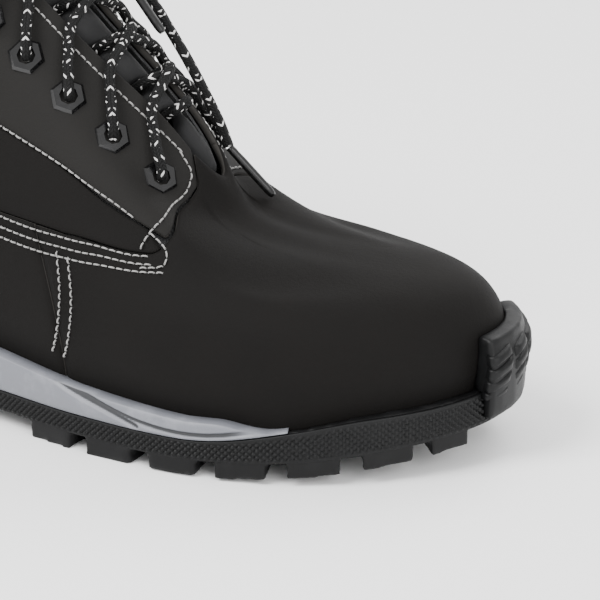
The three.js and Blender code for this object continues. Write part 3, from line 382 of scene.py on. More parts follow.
# ---------------------------------------------------------------------------------------------
# Materials
# ---------------------------------------------------------------------------------------------
class Groups:
    """Shader effects that several materials share, each built once."""

    @staticmethod
    def start(name: str, inputs: dict[str, float], outputs: dict[str, str]) -> bpy.types.NodeTree:
        """An empty group with float inputs and named outputs."""
        tree = bpy.data.node_groups.new(name, "ShaderNodeTree")
        for key, value in inputs.items():
            socket = tree.interface.new_socket(key, in_out="INPUT", socket_type="NodeSocketFloat")
            socket.default_value = value
        for key, kind in outputs.items():
            tree.interface.new_socket(key, in_out="OUTPUT", socket_type=kind)
        tree.nodes.new("NodeGroupInput").name = "in"
        tree.nodes.new("NodeGroupOutput").name = "out"
        return tree

    @staticmethod
    def math(tree: bpy.types.NodeTree, operation: str, *values: object) -> bpy.types.NodeSocket:
        """A math node with each input either a number or a socket."""
        node = tree.nodes.new("ShaderNodeMath")
        node.operation = operation
        for socket, value in zip(node.inputs, values):
            if isinstance(value, (int, float)):
                socket.default_value = value
            else:
                tree.links.new(value, socket)
        return node.outputs[0]

    @staticmethod
    def place(tree: bpy.types.NodeTree, stretch: tuple[float, float, float] = (1, 1,
                                                                               1)) -> bpy.types.NodeSocket:
        """Object coordinates, in millimetres times stretch."""
        where = tree.nodes.new("ShaderNodeTexCoord")
        scale = tree.nodes.new("ShaderNodeVectorMath")
        scale.operation = "MULTIPLY"
        scale.inputs[1].default_value = tuple(v / MM for v in stretch)
        tree.links.new(where.outputs["Object"], scale.inputs[0])
        return scale.outputs[0]

    @classmethod
    def noise(cls, tree: bpy.types.NodeTree, place: bpy.types.NodeSocket, scale: object,
              detail: float = 3, roughness: float = 0.55) -> bpy.types.NodeSocket:
        """Noise of a scale per millimetre."""
        node = tree.nodes.new("ShaderNodeTexNoise")
        tree.links.new(place, node.inputs["Vector"])
        node.inputs["Detail"].default_value = detail
        node.inputs["Roughness"].default_value = roughness
        if isinstance(scale, (int, float)):
            node.inputs["Scale"].default_value = scale
        else:
            tree.links.new(scale, node.inputs["Scale"])
        return node.outputs["Fac"]

    @classmethod
    def grain(cls) -> bpy.types.NodeTree:
        """Leather nap: fine height, and a broad mask where the nap is rubbed another way."""
        tree = cls.start("leather_grain", {"Fineness": 2.2, "Patch": 0.035},
                         {"Height": "NodeSocketFloat", "Rubbed": "NodeSocketFloat",
                          "Fleck": "NodeSocketFloat"})
        n, place = tree.nodes, cls.place(tree)
        fine = cls.noise(tree, place, n["in"].outputs["Fineness"], 4, 0.65)
        broad = cls.noise(tree, place, n["in"].outputs["Patch"], 3, 0.5)
        pores = tree.nodes.new("ShaderNodeTexVoronoi")
        tree.links.new(place, pores.inputs["Vector"])
        pores.inputs["Scale"].default_value = 0.9
        dust = cls.noise(tree, place, 0.55, 2, 0.9)
        pore = cls.math(tree, "MULTIPLY", pores.outputs["Distance"], 0.35)
        tree.links.new(cls.math(tree, "ADD", fine, pore), n["out"].inputs["Height"])
        tree.links.new(broad, n["out"].inputs["Rubbed"])
        tree.links.new(cls.math(tree, "GREATER_THAN", dust, 0.79), n["out"].inputs["Fleck"])
        return tree

    @classmethod
    def weave(cls) -> bpy.types.NodeTree:
        """Crossing threads at 45 degrees, from object coordinates."""
        tree = cls.start("thread_weave", {"Threads": 1.4},
                         {"Height": "NodeSocketFloat", "Shade": "NodeSocketFloat"})
        split = tree.nodes.new("ShaderNodeSeparateXYZ")
        tree.links.new(cls.place(tree), split.inputs[0])
        x, y, z = split.outputs
        count = tree.nodes["in"].outputs["Threads"]
        across = cls.math(tree, "MULTIPLY", cls.math(tree, "ADD", x, cls.math(tree, "MULTIPLY", y, 0.8)),
                          count)
        up = cls.math(tree, "MULTIPLY", cls.math(tree, "SUBTRACT", z, cls.math(tree, "MULTIPLY", y, 0.3)),
                      count)
        one = cls.math(tree, "SINE", cls.math(tree, "MULTIPLY", cls.math(tree, "ADD", across, up), math.pi))
        two = cls.math(tree, "SINE", cls.math(tree, "MULTIPLY", cls.math(tree, "SUBTRACT", across, up),
                                              math.pi))
        height = cls.math(tree, "MAXIMUM", cls.math(tree, "ABSOLUTE", one), cls.math(tree, "ABSOLUTE", two))
        tree.links.new(height, tree.nodes["out"].inputs["Height"])
        tree.links.new(cls.noise(tree, cls.place(tree), 0.08), tree.nodes["out"].inputs["Shade"])
        return tree

    @classmethod
    def scuff(cls) -> bpy.types.NodeTree:
        """Dust and rub marks on moulded pieces."""
        tree = cls.start("mould_scuff", {"Scale": 0.12},
                         {"Height": "NodeSocketFloat", "Dust": "NodeSocketFloat"})
        place = cls.place(tree)
        tree.links.new(cls.noise(tree, place, 3.0, 3, 0.6), tree.nodes["out"].inputs["Height"])
        marks = cls.noise(tree, place, tree.nodes["in"].outputs["Scale"], 5, 0.7)
        ramp = tree.nodes.new("ShaderNodeMapRange")
        ramp.inputs["From Min"].default_value, ramp.inputs["From Max"].default_value = 0.5, 0.75
        tree.links.new(marks, ramp.inputs["Value"])
        tree.links.new(ramp.outputs[0], tree.nodes["out"].inputs["Dust"])
        return tree


class Effect(Enum):
    """Which shared effect gives a finish its surface."""

    GRAIN = "leather_grain"
    WEAVE = "thread_weave"
    SCUFF = "mould_scuff"


@dataclass(frozen=True)
class Finish:
    """A finish of one material and how it is shaded."""

    name: str
    dark: tuple[float, float, float]
    light: tuple[float, float, float]
    roughness: float
    effect: Effect
    setting: float
    relief: float
    spread: float = 0.15
    metallic: float = 0.0
    sheen: float = 0.0
    coat: float = 0.0
    specular: float = 0.5
    raw: tuple[float, float, float] | None = None

    def build(self) -> bpy.types.Material:
        """The material with its nodes."""
        material = bpy.data.materials.new(self.name)
        material.use_nodes = True
        tree = material.node_tree
        shader = tree.nodes["Principled BSDF"]
        shader.inputs["Metallic"].default_value = self.metallic
        shader.inputs["Sheen Weight"].default_value = self.sheen
        shader.inputs["Sheen Roughness"].default_value = 0.6
        shader.inputs["Coat Weight"].default_value = self.coat
        shader.inputs["Coat Roughness"].default_value = 0.12
        shader.inputs["Specular IOR Level"].default_value = self.specular
        effect = tree.nodes.new("ShaderNodeGroup")
        effect.node_tree = bpy.data.node_groups[self.effect.value]
        effect.inputs[0].default_value = self.setting
        shade = next((o for o in effect.outputs if o.name in ("Rubbed", "Shade", "Dust")), None)
        if shade is None:
            shade = Groups.noise(tree, Groups.place(tree), 0.06, 4, 0.6)
        colour = self.mix(tree, shade, self.dark, self.light)
        if self.effect is Effect.GRAIN:
            fleck = Groups.math(tree, "MULTIPLY", effect.outputs["Fleck"], 0.5)
            colour = self.over(tree, fleck, colour, tuple(min(1, v * 5) for v in self.light))
        # Laid over by the raw attribute: the colour of cut edges, and on the midsole painted shade in the
        # grooves.
        if self.raw:
            edge = tree.nodes.new("ShaderNodeAttribute")
            edge.attribute_name = "raw"
            colour = self.over(tree, edge.outputs["Fac"], colour, self.raw)
        tree.links.new(colour, shader.inputs["Base Color"])
        wide = Groups.math(tree, "MULTIPLY_ADD", shade, self.spread, self.roughness - self.spread / 2)
        tree.links.new(wide, shader.inputs["Roughness"])
        bump = tree.nodes.new("ShaderNodeBump")
        bump.inputs["Distance"].default_value = self.relief * MM
        bump.inputs["Strength"].default_value = 1.0
        tree.links.new(effect.outputs["Height"], bump.inputs["Height"])
        tree.links.new(bump.outputs[0], shader.inputs["Normal"])
        return material

    @staticmethod
    def mix(tree: bpy.types.NodeTree, factor: bpy.types.NodeSocket, dark: tuple,
            light: tuple) -> bpy.types.NodeSocket:
        """Two colours mixed by a factor."""
        node = tree.nodes.new("ShaderNodeMix")
        node.data_type = "RGBA"
        node.inputs[6].default_value, node.inputs[7].default_value = (*dark, 1), (*light, 1)
        tree.links.new(factor, node.inputs[0])
        return node.outputs[2]

    @staticmethod
    def over(tree: bpy.types.NodeTree, factor: bpy.types.NodeSocket, under: bpy.types.NodeSocket,
             top: tuple) -> bpy.types.NodeSocket:
        """A plain colour laid over another by a factor."""
        node = tree.nodes.new("ShaderNodeMix")
        node.data_type = "RGBA"
        tree.links.new(factor, node.inputs[0])
        tree.links.new(under, node.inputs[6])
        node.inputs[7].default_value = (*top, 1)
        return node.outputs[2]


@dataclass(frozen=True)
class Braid:
    """The round braided lace: black strands with groups of pale ones."""

    name: str = "lace_braid"
    repeat: float = 8.5
    strand: float = 1.15

    def build(self) -> bpy.types.Material:
        """The material with its nodes."""
        material = bpy.data.materials.new(self.name)
        material.use_nodes = True
        tree = material.node_tree
        shader = tree.nodes["Principled BSDF"]
        shader.inputs["Roughness"].default_value = 0.62
        shader.inputs["Sheen Weight"].default_value = 0.01
        shader.inputs["Specular IOR Level"].default_value = 0.15
        where = tree.nodes.new("ShaderNodeUVMap")
        where.uv_map = "run"
        split = tree.nodes.new("ShaderNodeSeparateXYZ")
        tree.links.new(where.outputs[0], split.inputs[0])
        turn, along = split.outputs[0], split.outputs[1]
        m = lambda op, *v: Groups.math(tree, op, *v)
        lanes = m("MULTIPLY", turn, 4.0)
        steps = m("DIVIDE", along, self.strand)
        slant = m("ADD", steps, m("PINGPONG", lanes, 1.0))
        strand = m("ABSOLUTE", m("SINE", m("MULTIPLY", slant, math.pi)))
        lane_edge = m("ABSOLUTE", m("SINE", m("MULTIPLY", lanes, math.pi)))
        height = m("MULTIPLY", m("POWER", strand, 0.5), m("POWER", lane_edge, 0.4))
        lane = m("FLOOR", lanes)
        phase = m("FRACT", m("ADD", m("DIVIDE", along, self.repeat), m("MULTIPLY", lane, 0.5)))
        group = m("LESS_THAN", phase, 0.27)
        alternate = m("GREATER_THAN", m("FRACT", m("MULTIPLY", m("FLOOR", slant), 0.5)), 0.25)
        pale = m("MULTIPLY", m("MULTIPLY", group, alternate), m("GREATER_THAN", strand, 0.45))
        lit = m("MULTIPLY", pale, m("LESS_THAN", m("FRACT", m("MULTIPLY", lane, 0.5)), 0.9))
        # Painted shade: the braid's black is darker in the hollows between strands and lighter on their
        # crowns.
        base = Finish.mix(tree, height, (0.0012, 0.0012, 0.0012), (0.005, 0.005, 0.005))
        tree.links.new(Finish.over(tree, lit, base, (0.55, 0.54, 0.53)), shader.inputs["Base Color"])
        bump = tree.nodes.new("ShaderNodeBump")
        bump.inputs["Distance"].default_value = 0.35 * MM
        tree.links.new(height, bump.inputs["Height"])
        tree.links.new(bump.outputs[0], shader.inputs["Normal"])
        return material


class Wardrobe:
    """Every material of the boot, by a plain name."""

    def __init__(self) -> None:
        """Builds the groups and the materials."""
        for make in (Groups.grain, Groups.weave, Groups.scuff):
            make()
        finishes = (
            Finish("nubuck", (0.0026, 0.0023, 0.0021), (0.0058, 0.0051, 0.0046), 0.7, Effect.GRAIN, 2.4, 0.13,
                   sheen=0.004, specular=0.09, raw=(0.03, 0.028, 0.026)),
            Finish("facing_leather", (0.0062, 0.0058, 0.0054), (0.0105, 0.0098, 0.009), 0.64, Effect.GRAIN,
                   1.8, 0.09,
                   sheen=0.006, specular=0.12, raw=(0.03, 0.028, 0.026)),
            Finish("collar_cloth", (0.0025, 0.0025, 0.0027), (0.006, 0.006, 0.0063), 0.75, Effect.WEAVE, 1.6,
                   0.16, sheen=0.04, specular=0.25),
            Finish("tongue_cloth", (0.0035, 0.0035, 0.0038), (0.008, 0.008, 0.0085), 0.6, Effect.WEAVE, 2.2,
                   0.08, sheen=0.02, specular=0.25),
            Finish("lining_mesh", (0.012, 0.012, 0.013), (0.03, 0.03, 0.032), 0.92, Effect.WEAVE, 0.9, 0.35,
                   sheen=0.25),
            Finish("footbed_cloth", (0.05, 0.05, 0.054), (0.09, 0.09, 0.095), 0.95, Effect.WEAVE, 1.1, 0.2,
                   sheen=0.3),
            Finish("fibre_board", (0.32, 0.26, 0.18), (0.45, 0.37, 0.26), 0.9, Effect.SCUFF, 0.3, 0.1),
            Finish("cap_steel", (0.4, 0.41, 0.42), (0.6, 0.61, 0.62), 0.35, Effect.SCUFF, 0.3, 0.02,
                   metallic=1.0),
            Finish("tread_rubber", (0.002, 0.002, 0.0022), (0.008, 0.008, 0.0084), 0.6, Effect.SCUFF, 0.12,
                   0.05, specular=0.2),
            Finish("bumper_rubber", (0.0025, 0.0026, 0.0028), (0.006, 0.0061, 0.0066), 0.55, Effect.SCUFF,
                   0.15, 0.03, specular=0.2),
            # The midsole's raw colour is not a cut edge but a near-black painted shade for its grooves.
            Finish("midsole_foam", (0.135, 0.14, 0.158), (0.195, 0.2, 0.222), 0.5, Effect.SCUFF, 0.08, 0.05,
                   raw=(0.02, 0.021, 0.024)),
            Finish("eyelet_paint", (0.002, 0.002, 0.0022), (0.005, 0.005, 0.0055), 0.22, Effect.SCUFF, 0.2,
                   0.015, coat=0.35, specular=0.35),
            Finish("tip_film", (0.003, 0.003, 0.003), (0.008, 0.008, 0.008), 0.42, Effect.SCUFF, 0.6, 0.03,
                   coat=0.15, specular=0.3),
            Finish("webbing", (0.005, 0.005, 0.0052), (0.014, 0.014, 0.015), 0.85, Effect.WEAVE, 1.9, 0.3,
                   sheen=0.2),
            Finish("thread", (0.16, 0.155, 0.15), (0.30, 0.295, 0.285), 0.75, Effect.GRAIN, 3.0, 0.05,
                   sheen=0.2),
        )
        self.stock = {f.name: f.build() for f in finishes}
        self.stock["lace_braid"] = Braid().build()

    def __getitem__(self, name: str) -> bpy.types.Material:
        """A material by name."""
        return self.stock[name]


# ---------------------------------------------------------------------------------------------
# Upper
# ---------------------------------------------------------------------------------------------
@dataclass(frozen=True)
class PanelCut:
    """One leather or cloth piece of the upper between two t lines and two seam lines."""

    node: str
    finish: str
    slot: str
    start: float
    end: float
    low: Line
    high: Line
    lift: float = 0.0
    thick: float = LEATHER
    rows: int = 30
    soft_edge: float = 1.6


@dataclass
class Upper:
    """The leather panels with their rolled edges, seams and stitches."""

    wardrobe: Wardrobe
    step: float = 0.0032
    seam: float = 0.0006
    stitch_length: float = 2.1
    stitch_pitch: float = 2.9
    stitch_radius: float = 0.29
    overlap: float = 0.75
    roll_depth: float = 0.45
    waves: tuple[tuple[float, float, float], ...] = (
        (7.0, 3.0, 0.07), (17.0, 6.0, 0.03), (31.0, 5.0, 0.02))

    def relief(self, t: Array, s: Array) -> Array:
        """Slow unevenness of real leather pulled over a last.

        Args:
            t: Places round the last.
            s: Places up the last.

        Returns:
            How far the leather stands out, in millimetres.
        """
        swell = np.zeros(np.broadcast(t, s).shape)
        for along, up, size in self.waves:
            swell += size * np.sin(2 * math.pi * (along * t + 0.35 * up * s) + 1.7 * up) \
                * np.sin(math.pi * up * s + along)
        crease = smooth(0.33, 0.36, t) * (1 - smooth(0.40, 0.43, t))
        swell -= 0.12 * crease * smooth(0.35, 0.45, s) * (1 - smooth(0.62, 0.75, s)) \
            * (0.5 + 0.5 * np.sin(130 * t + 9 * s))
        return swell * smooth(0.0, 0.08, s)

    def surface(self, cut: PanelCut, t: Array, f: Array) -> tuple[Array, Array]:
        """Outer points of a panel, with edges that roll down to the leather's thickness.

        Args:
            cut: The panel.
            t: Grid of places round the last.
            f: Grid from 0 at the panel's lower edge to 1 at its upper edge.

        Returns:
            The points, and the points of the panel's back.
        """
        low, high = cut.low(t), cut.high(t)
        s = low + (high - low) * f
        side = np.minimum((t - cut.start) * T_MM, (cut.end - t) * T_MM)
        side = np.minimum(side, np.minimum(s - low, high - s) * S_MM)
        roll = np.clip(1 - side / cut.soft_edge, 0, 1)
        drop = self.roll_depth * (1 - np.sqrt(np.maximum(1 - roll * roll, 0)))
        lift = cut.lift + self.relief(t, s) * np.clip(side / 6, 0, 1) - drop
        return LAST.skin(t, s, lift), LAST.skin(t, s, -cut.thick)

    def panel(self, cut: PanelCut) -> bpy.types.Object:
        """Builds one panel as a closed shell that replaces its CAD node."""
        count = max(6, int((cut.end - cut.start) / self.step) + 1)
        line = np.linspace(cut.start, cut.end, count)
        edge = np.array([0.0, 0.008, 0.02, 0.04])
        f = np.concatenate([edge, np.linspace(0.07, 0.93, cut.rows), 1 - edge[::-1]])
        t, f = np.meshgrid(line, f, indexing="ij")
        outer, inner = self.surface(cut, t, f)
        verts, faces, raw = Maker.shell(outer, inner)
        piece = Maker.mesh(f"{cut.node}_skin", verts, faces, self.wardrobe[cut.finish], raw=raw)
        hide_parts(cut.node)
        return piece

    def cuts(self) -> list[PanelCut]:
        """The panels, lower layers first."""
        foot = seam_line((0, FOOT), (0.51, FOOT))
        top = seam_line((0, 1), (0.51, 1))
        below = lambda t: np.where(QUARTER_BASE(t) >= 1, 1.0, QUARTER_BASE(t) - 0.002)
        sides = []
        for side in Side:
            def span(a: float, b: float, side: Side = side) -> tuple[float, float]:
                """A stretch of t on the lateral side, or its mirror on the medial side."""
                return (a, b) if side is Side.LATERAL else (1 - b, 1 - a)

            quarter, facing = span(BACKSTAY + self.seam, TIP + 0.008), span(COLLAR_END - self.seam, 0.4372)
            sides += [
                PanelCut(f"quarter_{side.label}", "nubuck", "nubuck", *quarter,
                         lambda t: QUARTER_BASE(t) + 0.002, lambda t: FACING_BASE(t) - 0.002),
                PanelCut(f"facing_{side.label}", "facing_leather", "facing_leather", *facing,
                         lambda t: np.maximum(FACING_BASE(t), QUARTER_BASE(t)) + 0.004, top,
                         lift=self.overlap * 0.5),
            ]
        return [
            PanelCut("vamp", "nubuck", "nubuck", VAMP_SIDE + self.seam, 1 - VAMP_SIDE - self.seam,
                     foot, below, lift=self.overlap * 0.6, rows=36),
            PanelCut("heel_panel", "nubuck", "nubuck", -VAMP_SIDE + self.seam, VAMP_SIDE - self.seam,
                     foot, lambda t: QUARTER_BASE(t) - 0.001, lift=self.overlap * 0.4, rows=26),
            PanelCut("backstay", "nubuck", "nubuck", -BACKSTAY + self.seam, BACKSTAY - self.seam,
                     lambda t: QUARTER_BASE(t) + 0.003, lambda t: np.full_like(t, COLLAR_LOW - 0.003),
                     lift=self.overlap * 0.6),
            *sides,
        ]

    def collar(self) -> bpy.types.Object:
        """The padded ankle collar, with three sewn channels that run round it."""
        t, f = np.meshgrid(np.linspace(-COLLAR_END + self.seam, COLLAR_END - self.seam, 150),
                           np.linspace(0, 1, 46), indexing="ij")
        s = COLLAR_LOW + 0.003 + (1 - COLLAR_LOW - 0.004) * f
        channel = np.abs(np.sin(math.pi * 3 * f)) ** 0.55
        end = smooth(0, 0.012, COLLAR_END - np.abs(t))
        lift = (0.5 + 2.5 * channel) * end + 0.15 * np.sin(150 * t) * channel
        verts, faces, raw = Maker.shell(LAST.skin(t, s, lift), LAST.skin(t, s, -PLY_FLOOR))
        piece = Maker.mesh("collar_pad", verts, faces, self.wardrobe["collar_cloth"], raw=0 * raw)
        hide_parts("collar")
        return piece

    def stitches(self, name: str, t: Array, s: Array, lift: float = 1.0) -> bpy.types.Object:
        """A row of thread stitches along a line on the last.

        Args:
            name: Name of the row.
            t: Line of places round the last.
            s: Line of places up the last.
            lift: How far the row lies outside the last.

        Returns:
            The row of stitches, as one piece.
        """
        dense = LAST.skin(t, s, lift)
        inward = -LAST.normal(t, s)
        both = resample(np.concatenate([dense, inward], axis=1), 0.25)
        line, into = both[:, :3], unit(both[:, 3:])
        pitch, length = int(self.stitch_pitch / 0.25), int(self.stitch_length / 0.25)
        parts = []
        for start in range(0, len(line) - length, pitch):
            piece = line[start:start + length + 1:2]
            sunk = into[start:start + length + 1:2]
            bow = np.linspace(-1, 1, len(piece))[:, None] ** 4
            parts.append(Maker.tube(piece + sunk * bow * 0.7, self.stitch_radius, 6))
        verts, faces = Maker.join(parts)
        row = Maker.mesh(name, verts, faces, self.wardrobe["thread"])
        return row

    def seams(self) -> None:
        """Every row of stitches on both sides of the boot."""
        band = np.array([(0.0005, 0.452), (0.02, 0.45), (0.1, 0.435), (0.2, 0.432), (0.2675, 0.455),
                         (0.307, 0.50),
                         (0.3293, 0.549), (0.3473, 0.59), (0.3600, 0.625)])
        diagonal = np.array([(0.2751, 0.672), (0.3028, 0.682), (0.3302, 0.706), (0.3512, 0.715),
                             (0.3625, 0.709)])
        front = np.array([(0.4203, 0.962), (0.4304, 0.943), (0.4275, 0.905), (0.4173, 0.857),
                          (0.3899, 0.771), (0.3696, 0.707), (0.3601, 0.665), (0.3515, 0.605)])
        upright = np.array([(0.3005, 0.447), (0.2960, 0.32), (0.2890, 0.18), (0.2840, 0.08)])
        hook = np.array([(0.3490, 0.553), (0.3600, 0.590), (0.3668, 0.635), (0.3700, 0.680), (0.3655, 0.700)])
        edge = np.stack([np.linspace(0.2, 0.425, 40), np.full(40, 0.965)], axis=1)
        base = np.array([(0.195, 0.835), (0.21, 0.775), (0.24, 0.705), (0.2751, 0.68)])
        rows = {"band_1": (band, 0.0), "band_2": (band, -0.028), "band_3": (band, -0.056),
                "diagonal": (diagonal, 0.0), "facing_front": (front, 0.0), "facing_edge": (edge, 0.0),
                "facing_base": (base, 0.012), "upright_1": (upright, 0.0), "hook": (hook, 0.0)}
        for side in Side:
            for label, (points, shift) in rows.items():
                line = catmull(points, 0.002)
                self.stitches(f"stitch_{label}_{side.label}", side.turn(line[:, 0]),
                              line[:, 1] + shift, 1.0)
            line = catmull(upright, 0.002)
            self.stitches(f"stitch_upright_2_{side.label}", side.turn(line[:, 0] + 0.006), line[:, 1], 1.0)

    def build(self) -> None:
        """Builds the whole outer upper."""
        for cut in self.cuts():
            self.panel(cut)
        self.collar()
        self.seams()


# ---------------------------------------------------------------------------------------------
# Lace
# ---------------------------------------------------------------------------------------------
@dataclass
class Throat:
    """Places by distance along the facing edge, measured back from the corner of the throat."""

    tongue_crown: float = 2.0
    tongue_drop: float = 12.6
    eyelet_first: float = 15.0
    pitch: float = 18.5
    edge: float = 20.0
    table: Array = field(init=False)

    def __post_init__(self) -> None:
        """Measures the facing edge."""
        t = CORNER - np.arange(0, (CORNER - COLLAR_END) + 0.02, 0.0005)
        p = LAST.point(t, 1.0)
        along = np.concatenate([[0], np.cumsum(np.linalg.norm(np.diff(p, axis=0), axis=1))])
        self.table = np.stack([along, t], axis=1)

    @property
    def length(self) -> float:
        """Length of the facing edge."""
        return float(np.interp(0.25, self.table[::-1, 1], self.table[::-1, 0]))

    def t(self, d: float) -> float:
        """The t at a distance along the facing edge."""
        return float(np.interp(d, self.table[:, 0], self.table[:, 1]))

    def spot(self, d: float, inward: float, depth: float, side: Side) -> tuple[Array, Array]:
        """A point near the facing edge and the normal there."""
        t = side.turn(self.t(d))
        per = np.linalg.norm(LAST.point(t, 1.0) - LAST.point(t, 0.9)) / 0.1
        s = 1 - max(inward, 0) / per
        point, normal = LAST.skin(t, s, -depth), LAST.normal(t, s)
        if inward < 0:
            point = point - unit(LAST.point(t, 1.0) - LAST.point(t, 0.98)) * inward
        return point, normal

    def frame(self, d: float) -> tuple[Array, Array, float]:
        """Centre, outward direction and half width of the throat."""
        at = float(np.clip(d, 1, self.length))
        mid = lambda q: (LAST.point(self.t(q), 1.0) + LAST.point(1 - self.t(q), 1.0)) / 2
        lip = LAST.point(0.5, 1.0)
        up = unit(mid(1.0) - lip) if d < 1 else unit(mid(min(at + 4, self.length)) - mid(max(at - 4, 1)))
        out = unit(np.cross([0, 1.0, 0], up))
        half = np.linalg.norm(LAST.point(self.t(at), 1.0) - LAST.point(1 - self.t(at), 1.0)) / 2
        return mid(at) + up * (d - at), out, float(half)

    def crown(self, v: float) -> float:
        """Height of the tongue's pad across the throat."""
        return self.tongue_crown - (self.tongue_crown + self.tongue_drop) * abs(v) ** 1.6

    def above(self, d: float, v: float, lift: float) -> Array:
        """A point above the tongue."""
        centre, out, half = self.frame(d)
        return centre + np.array([0, v * half, 0]) + out * (self.crown(v) + lift)


@dataclass
class Lacing:
    """The round lace: its woven run and its two free ends with their tips."""

    wardrobe: Wardrobe
    throat: Throat
    width: float = 3.6
    pairs: int = 5
    mouth: float = 2.7
    tip_length: float = 22.0
    deep: float = INSIDE + 2.6
    over: float = 3.3
    rest: float = 3.1
    clear: float = 4.3

    def eye(self, i: int, side: Side) -> list[Array]:
        """The way out through one eyelet."""
        d = self.throat.eyelet_first + i * self.throat.pitch
        e = self.throat.edge
        wants = ((d, e - 1, self.deep), (d, e - 0.1, 4), (d, e, 1), (d, e - 0.2, -2.2),
                 (d + 1.5, e - 5, -self.over - 1.2))
        return [self.throat.spot(*want, side)[0] for want in wants]

    def crossing(self, i: int, side: Side, above: bool) -> list[Array]:
        """From one eyelet over the facing's edge and under the other facing."""
        t = self.throat
        d, lift = t.eyelet_first + i * t.pitch, self.clear if above else 0.0
        other = Side(-side.value)
        across = lambda at, v, high: t.above(at, v * -side.value, high - t.crown(v))
        return [
            t.spot(d + 4, t.edge - 12, -self.over, side)[0], t.spot(d + 6, 1.5, -self.over, side)[0],
            across(d + 8.3, 0.6, self.over + 0.6 + lift * 0.6),
            across(d + 11, 0, t.tongue_crown + self.rest + lift),
            across(d + 13, -0.34, t.crown(0.34) + self.rest + lift * 0.6),
            t.spot(d + 14.6, -0.5, self.deep + 1, other)[0], t.spot(d + 15.5, 3, self.deep, other)[0],
            t.spot(d + 16.8, 10, self.deep, other)[0],
        ]

    def half(self, side: Side) -> list[Array]:
        """The lace from the bar to a top eyelet."""
        route, now = self.eye(0, side), side
        for i in range(self.pairs - 1):
            route += self.crossing(i, now, (i % 2 == 0) == (side is Side.LATERAL))
            now = Side(-now.value)
            route += self.eye(i + 1, now)
        return route[:-1]

    def woven(self) -> bpy.types.Object:
        """The lace as it runs through the eyelets."""
        t, first = self.throat, self.throat.eyelet_first
        deep = lambda inward, side: t.spot(first, inward, self.deep, side)[0]
        bar = [deep(v, Side.LATERAL) for v in (10, 3, -0.5)] \
            + [t.above(first, v, self.rest) for v in (-0.34, 0, 0.34)] \
            + [deep(v, Side.MEDIAL) for v in (-0.5, 3, 10)]
        path = catmull(self.half(Side.LATERAL)[::-1] + bar + self.half(Side.MEDIAL), 1.0)
        verts, faces, uv = Maker.tube(path, self.width / 2, 14)
        piece = Maker.mesh("lace_woven", verts, faces, self.wardrobe["lace_braid"], uv=uv)
        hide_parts("lace")
        return piece

    def end(self, side: Side, points: Sequence[tuple[float, float, float]],
            tip: tuple[float, float, float]) -> None:
        """One free end, with its tip.

        Args:
            side: The side of the top eyelet it leaves.
            points: The route from the eyelet, before the boot was centred.
            tip: A point that the tip aims at.
        """
        t = self.throat
        spot, normal = t.spot(t.eyelet_first + (self.pairs - 1) * t.pitch, t.edge, 0, side)
        shift = np.array(LAST.origin)
        route = [spot + normal * self.mouth, spot + normal * (self.mouth + 2.4)]
        route += [np.array(p) - shift for p in points]
        path = catmull(route, 1.0)
        verts, faces, uv = Maker.tube(path, self.width / 2, 14)
        cord = Maker.mesh(f"free_lace_{side.label}", verts, faces, self.wardrobe["lace_braid"], uv=uv)
        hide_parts(f"lace_end_{side.label}")
        root = np.array(points[-1]) - shift
        along = unit(np.array(tip) - shift - root)
        reach = np.linspace(0, self.tip_length, 24)
        radius = 1.5 - 0.12 * np.abs(np.sin(reach * 1.4)) * (reach < 5)
        radius[-3:] = (1.42, 1.3, 1.0)
        verts, faces, uv = Maker.tube(root + np.outer(reach + 0.6, along), radius, 16)
        film = Maker.mesh(f"lace_tip_{side.label}", verts, faces, self.wardrobe["tip_film"])
        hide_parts(f"aglet_{side.label}")

    def build(self) -> None:
        """Builds the lace."""
        self.woven()
        self.end(Side.MEDIAL, (
            (-13.4, 26.4, 143), (-13, 21, 149.4), (-9, 16.8, 152.6), (-2, 16, 150.5), (6, 18.5, 144),
            (14, 20, 138), (21.3, 20, 132.6), (30, 17, 124.5), (38.3, 14, 116.4), (46, 12.5, 106),
            (51.5, 12, 97), (54.8, 12, 89.5)), (65.5, 17, 76))
        self.end(Side.LATERAL, (
            (-13.4, -26.6, 143), (-13, -20.8, 149.8), (-13.4, -14.5, 154.8), (-12, -7.5, 158.6),
            (-7, -1.5, 160.2), (0, 4, 157.5), (8, 9, 151), (15.7, 12, 142.4)), (29.9, 10, 127.4))


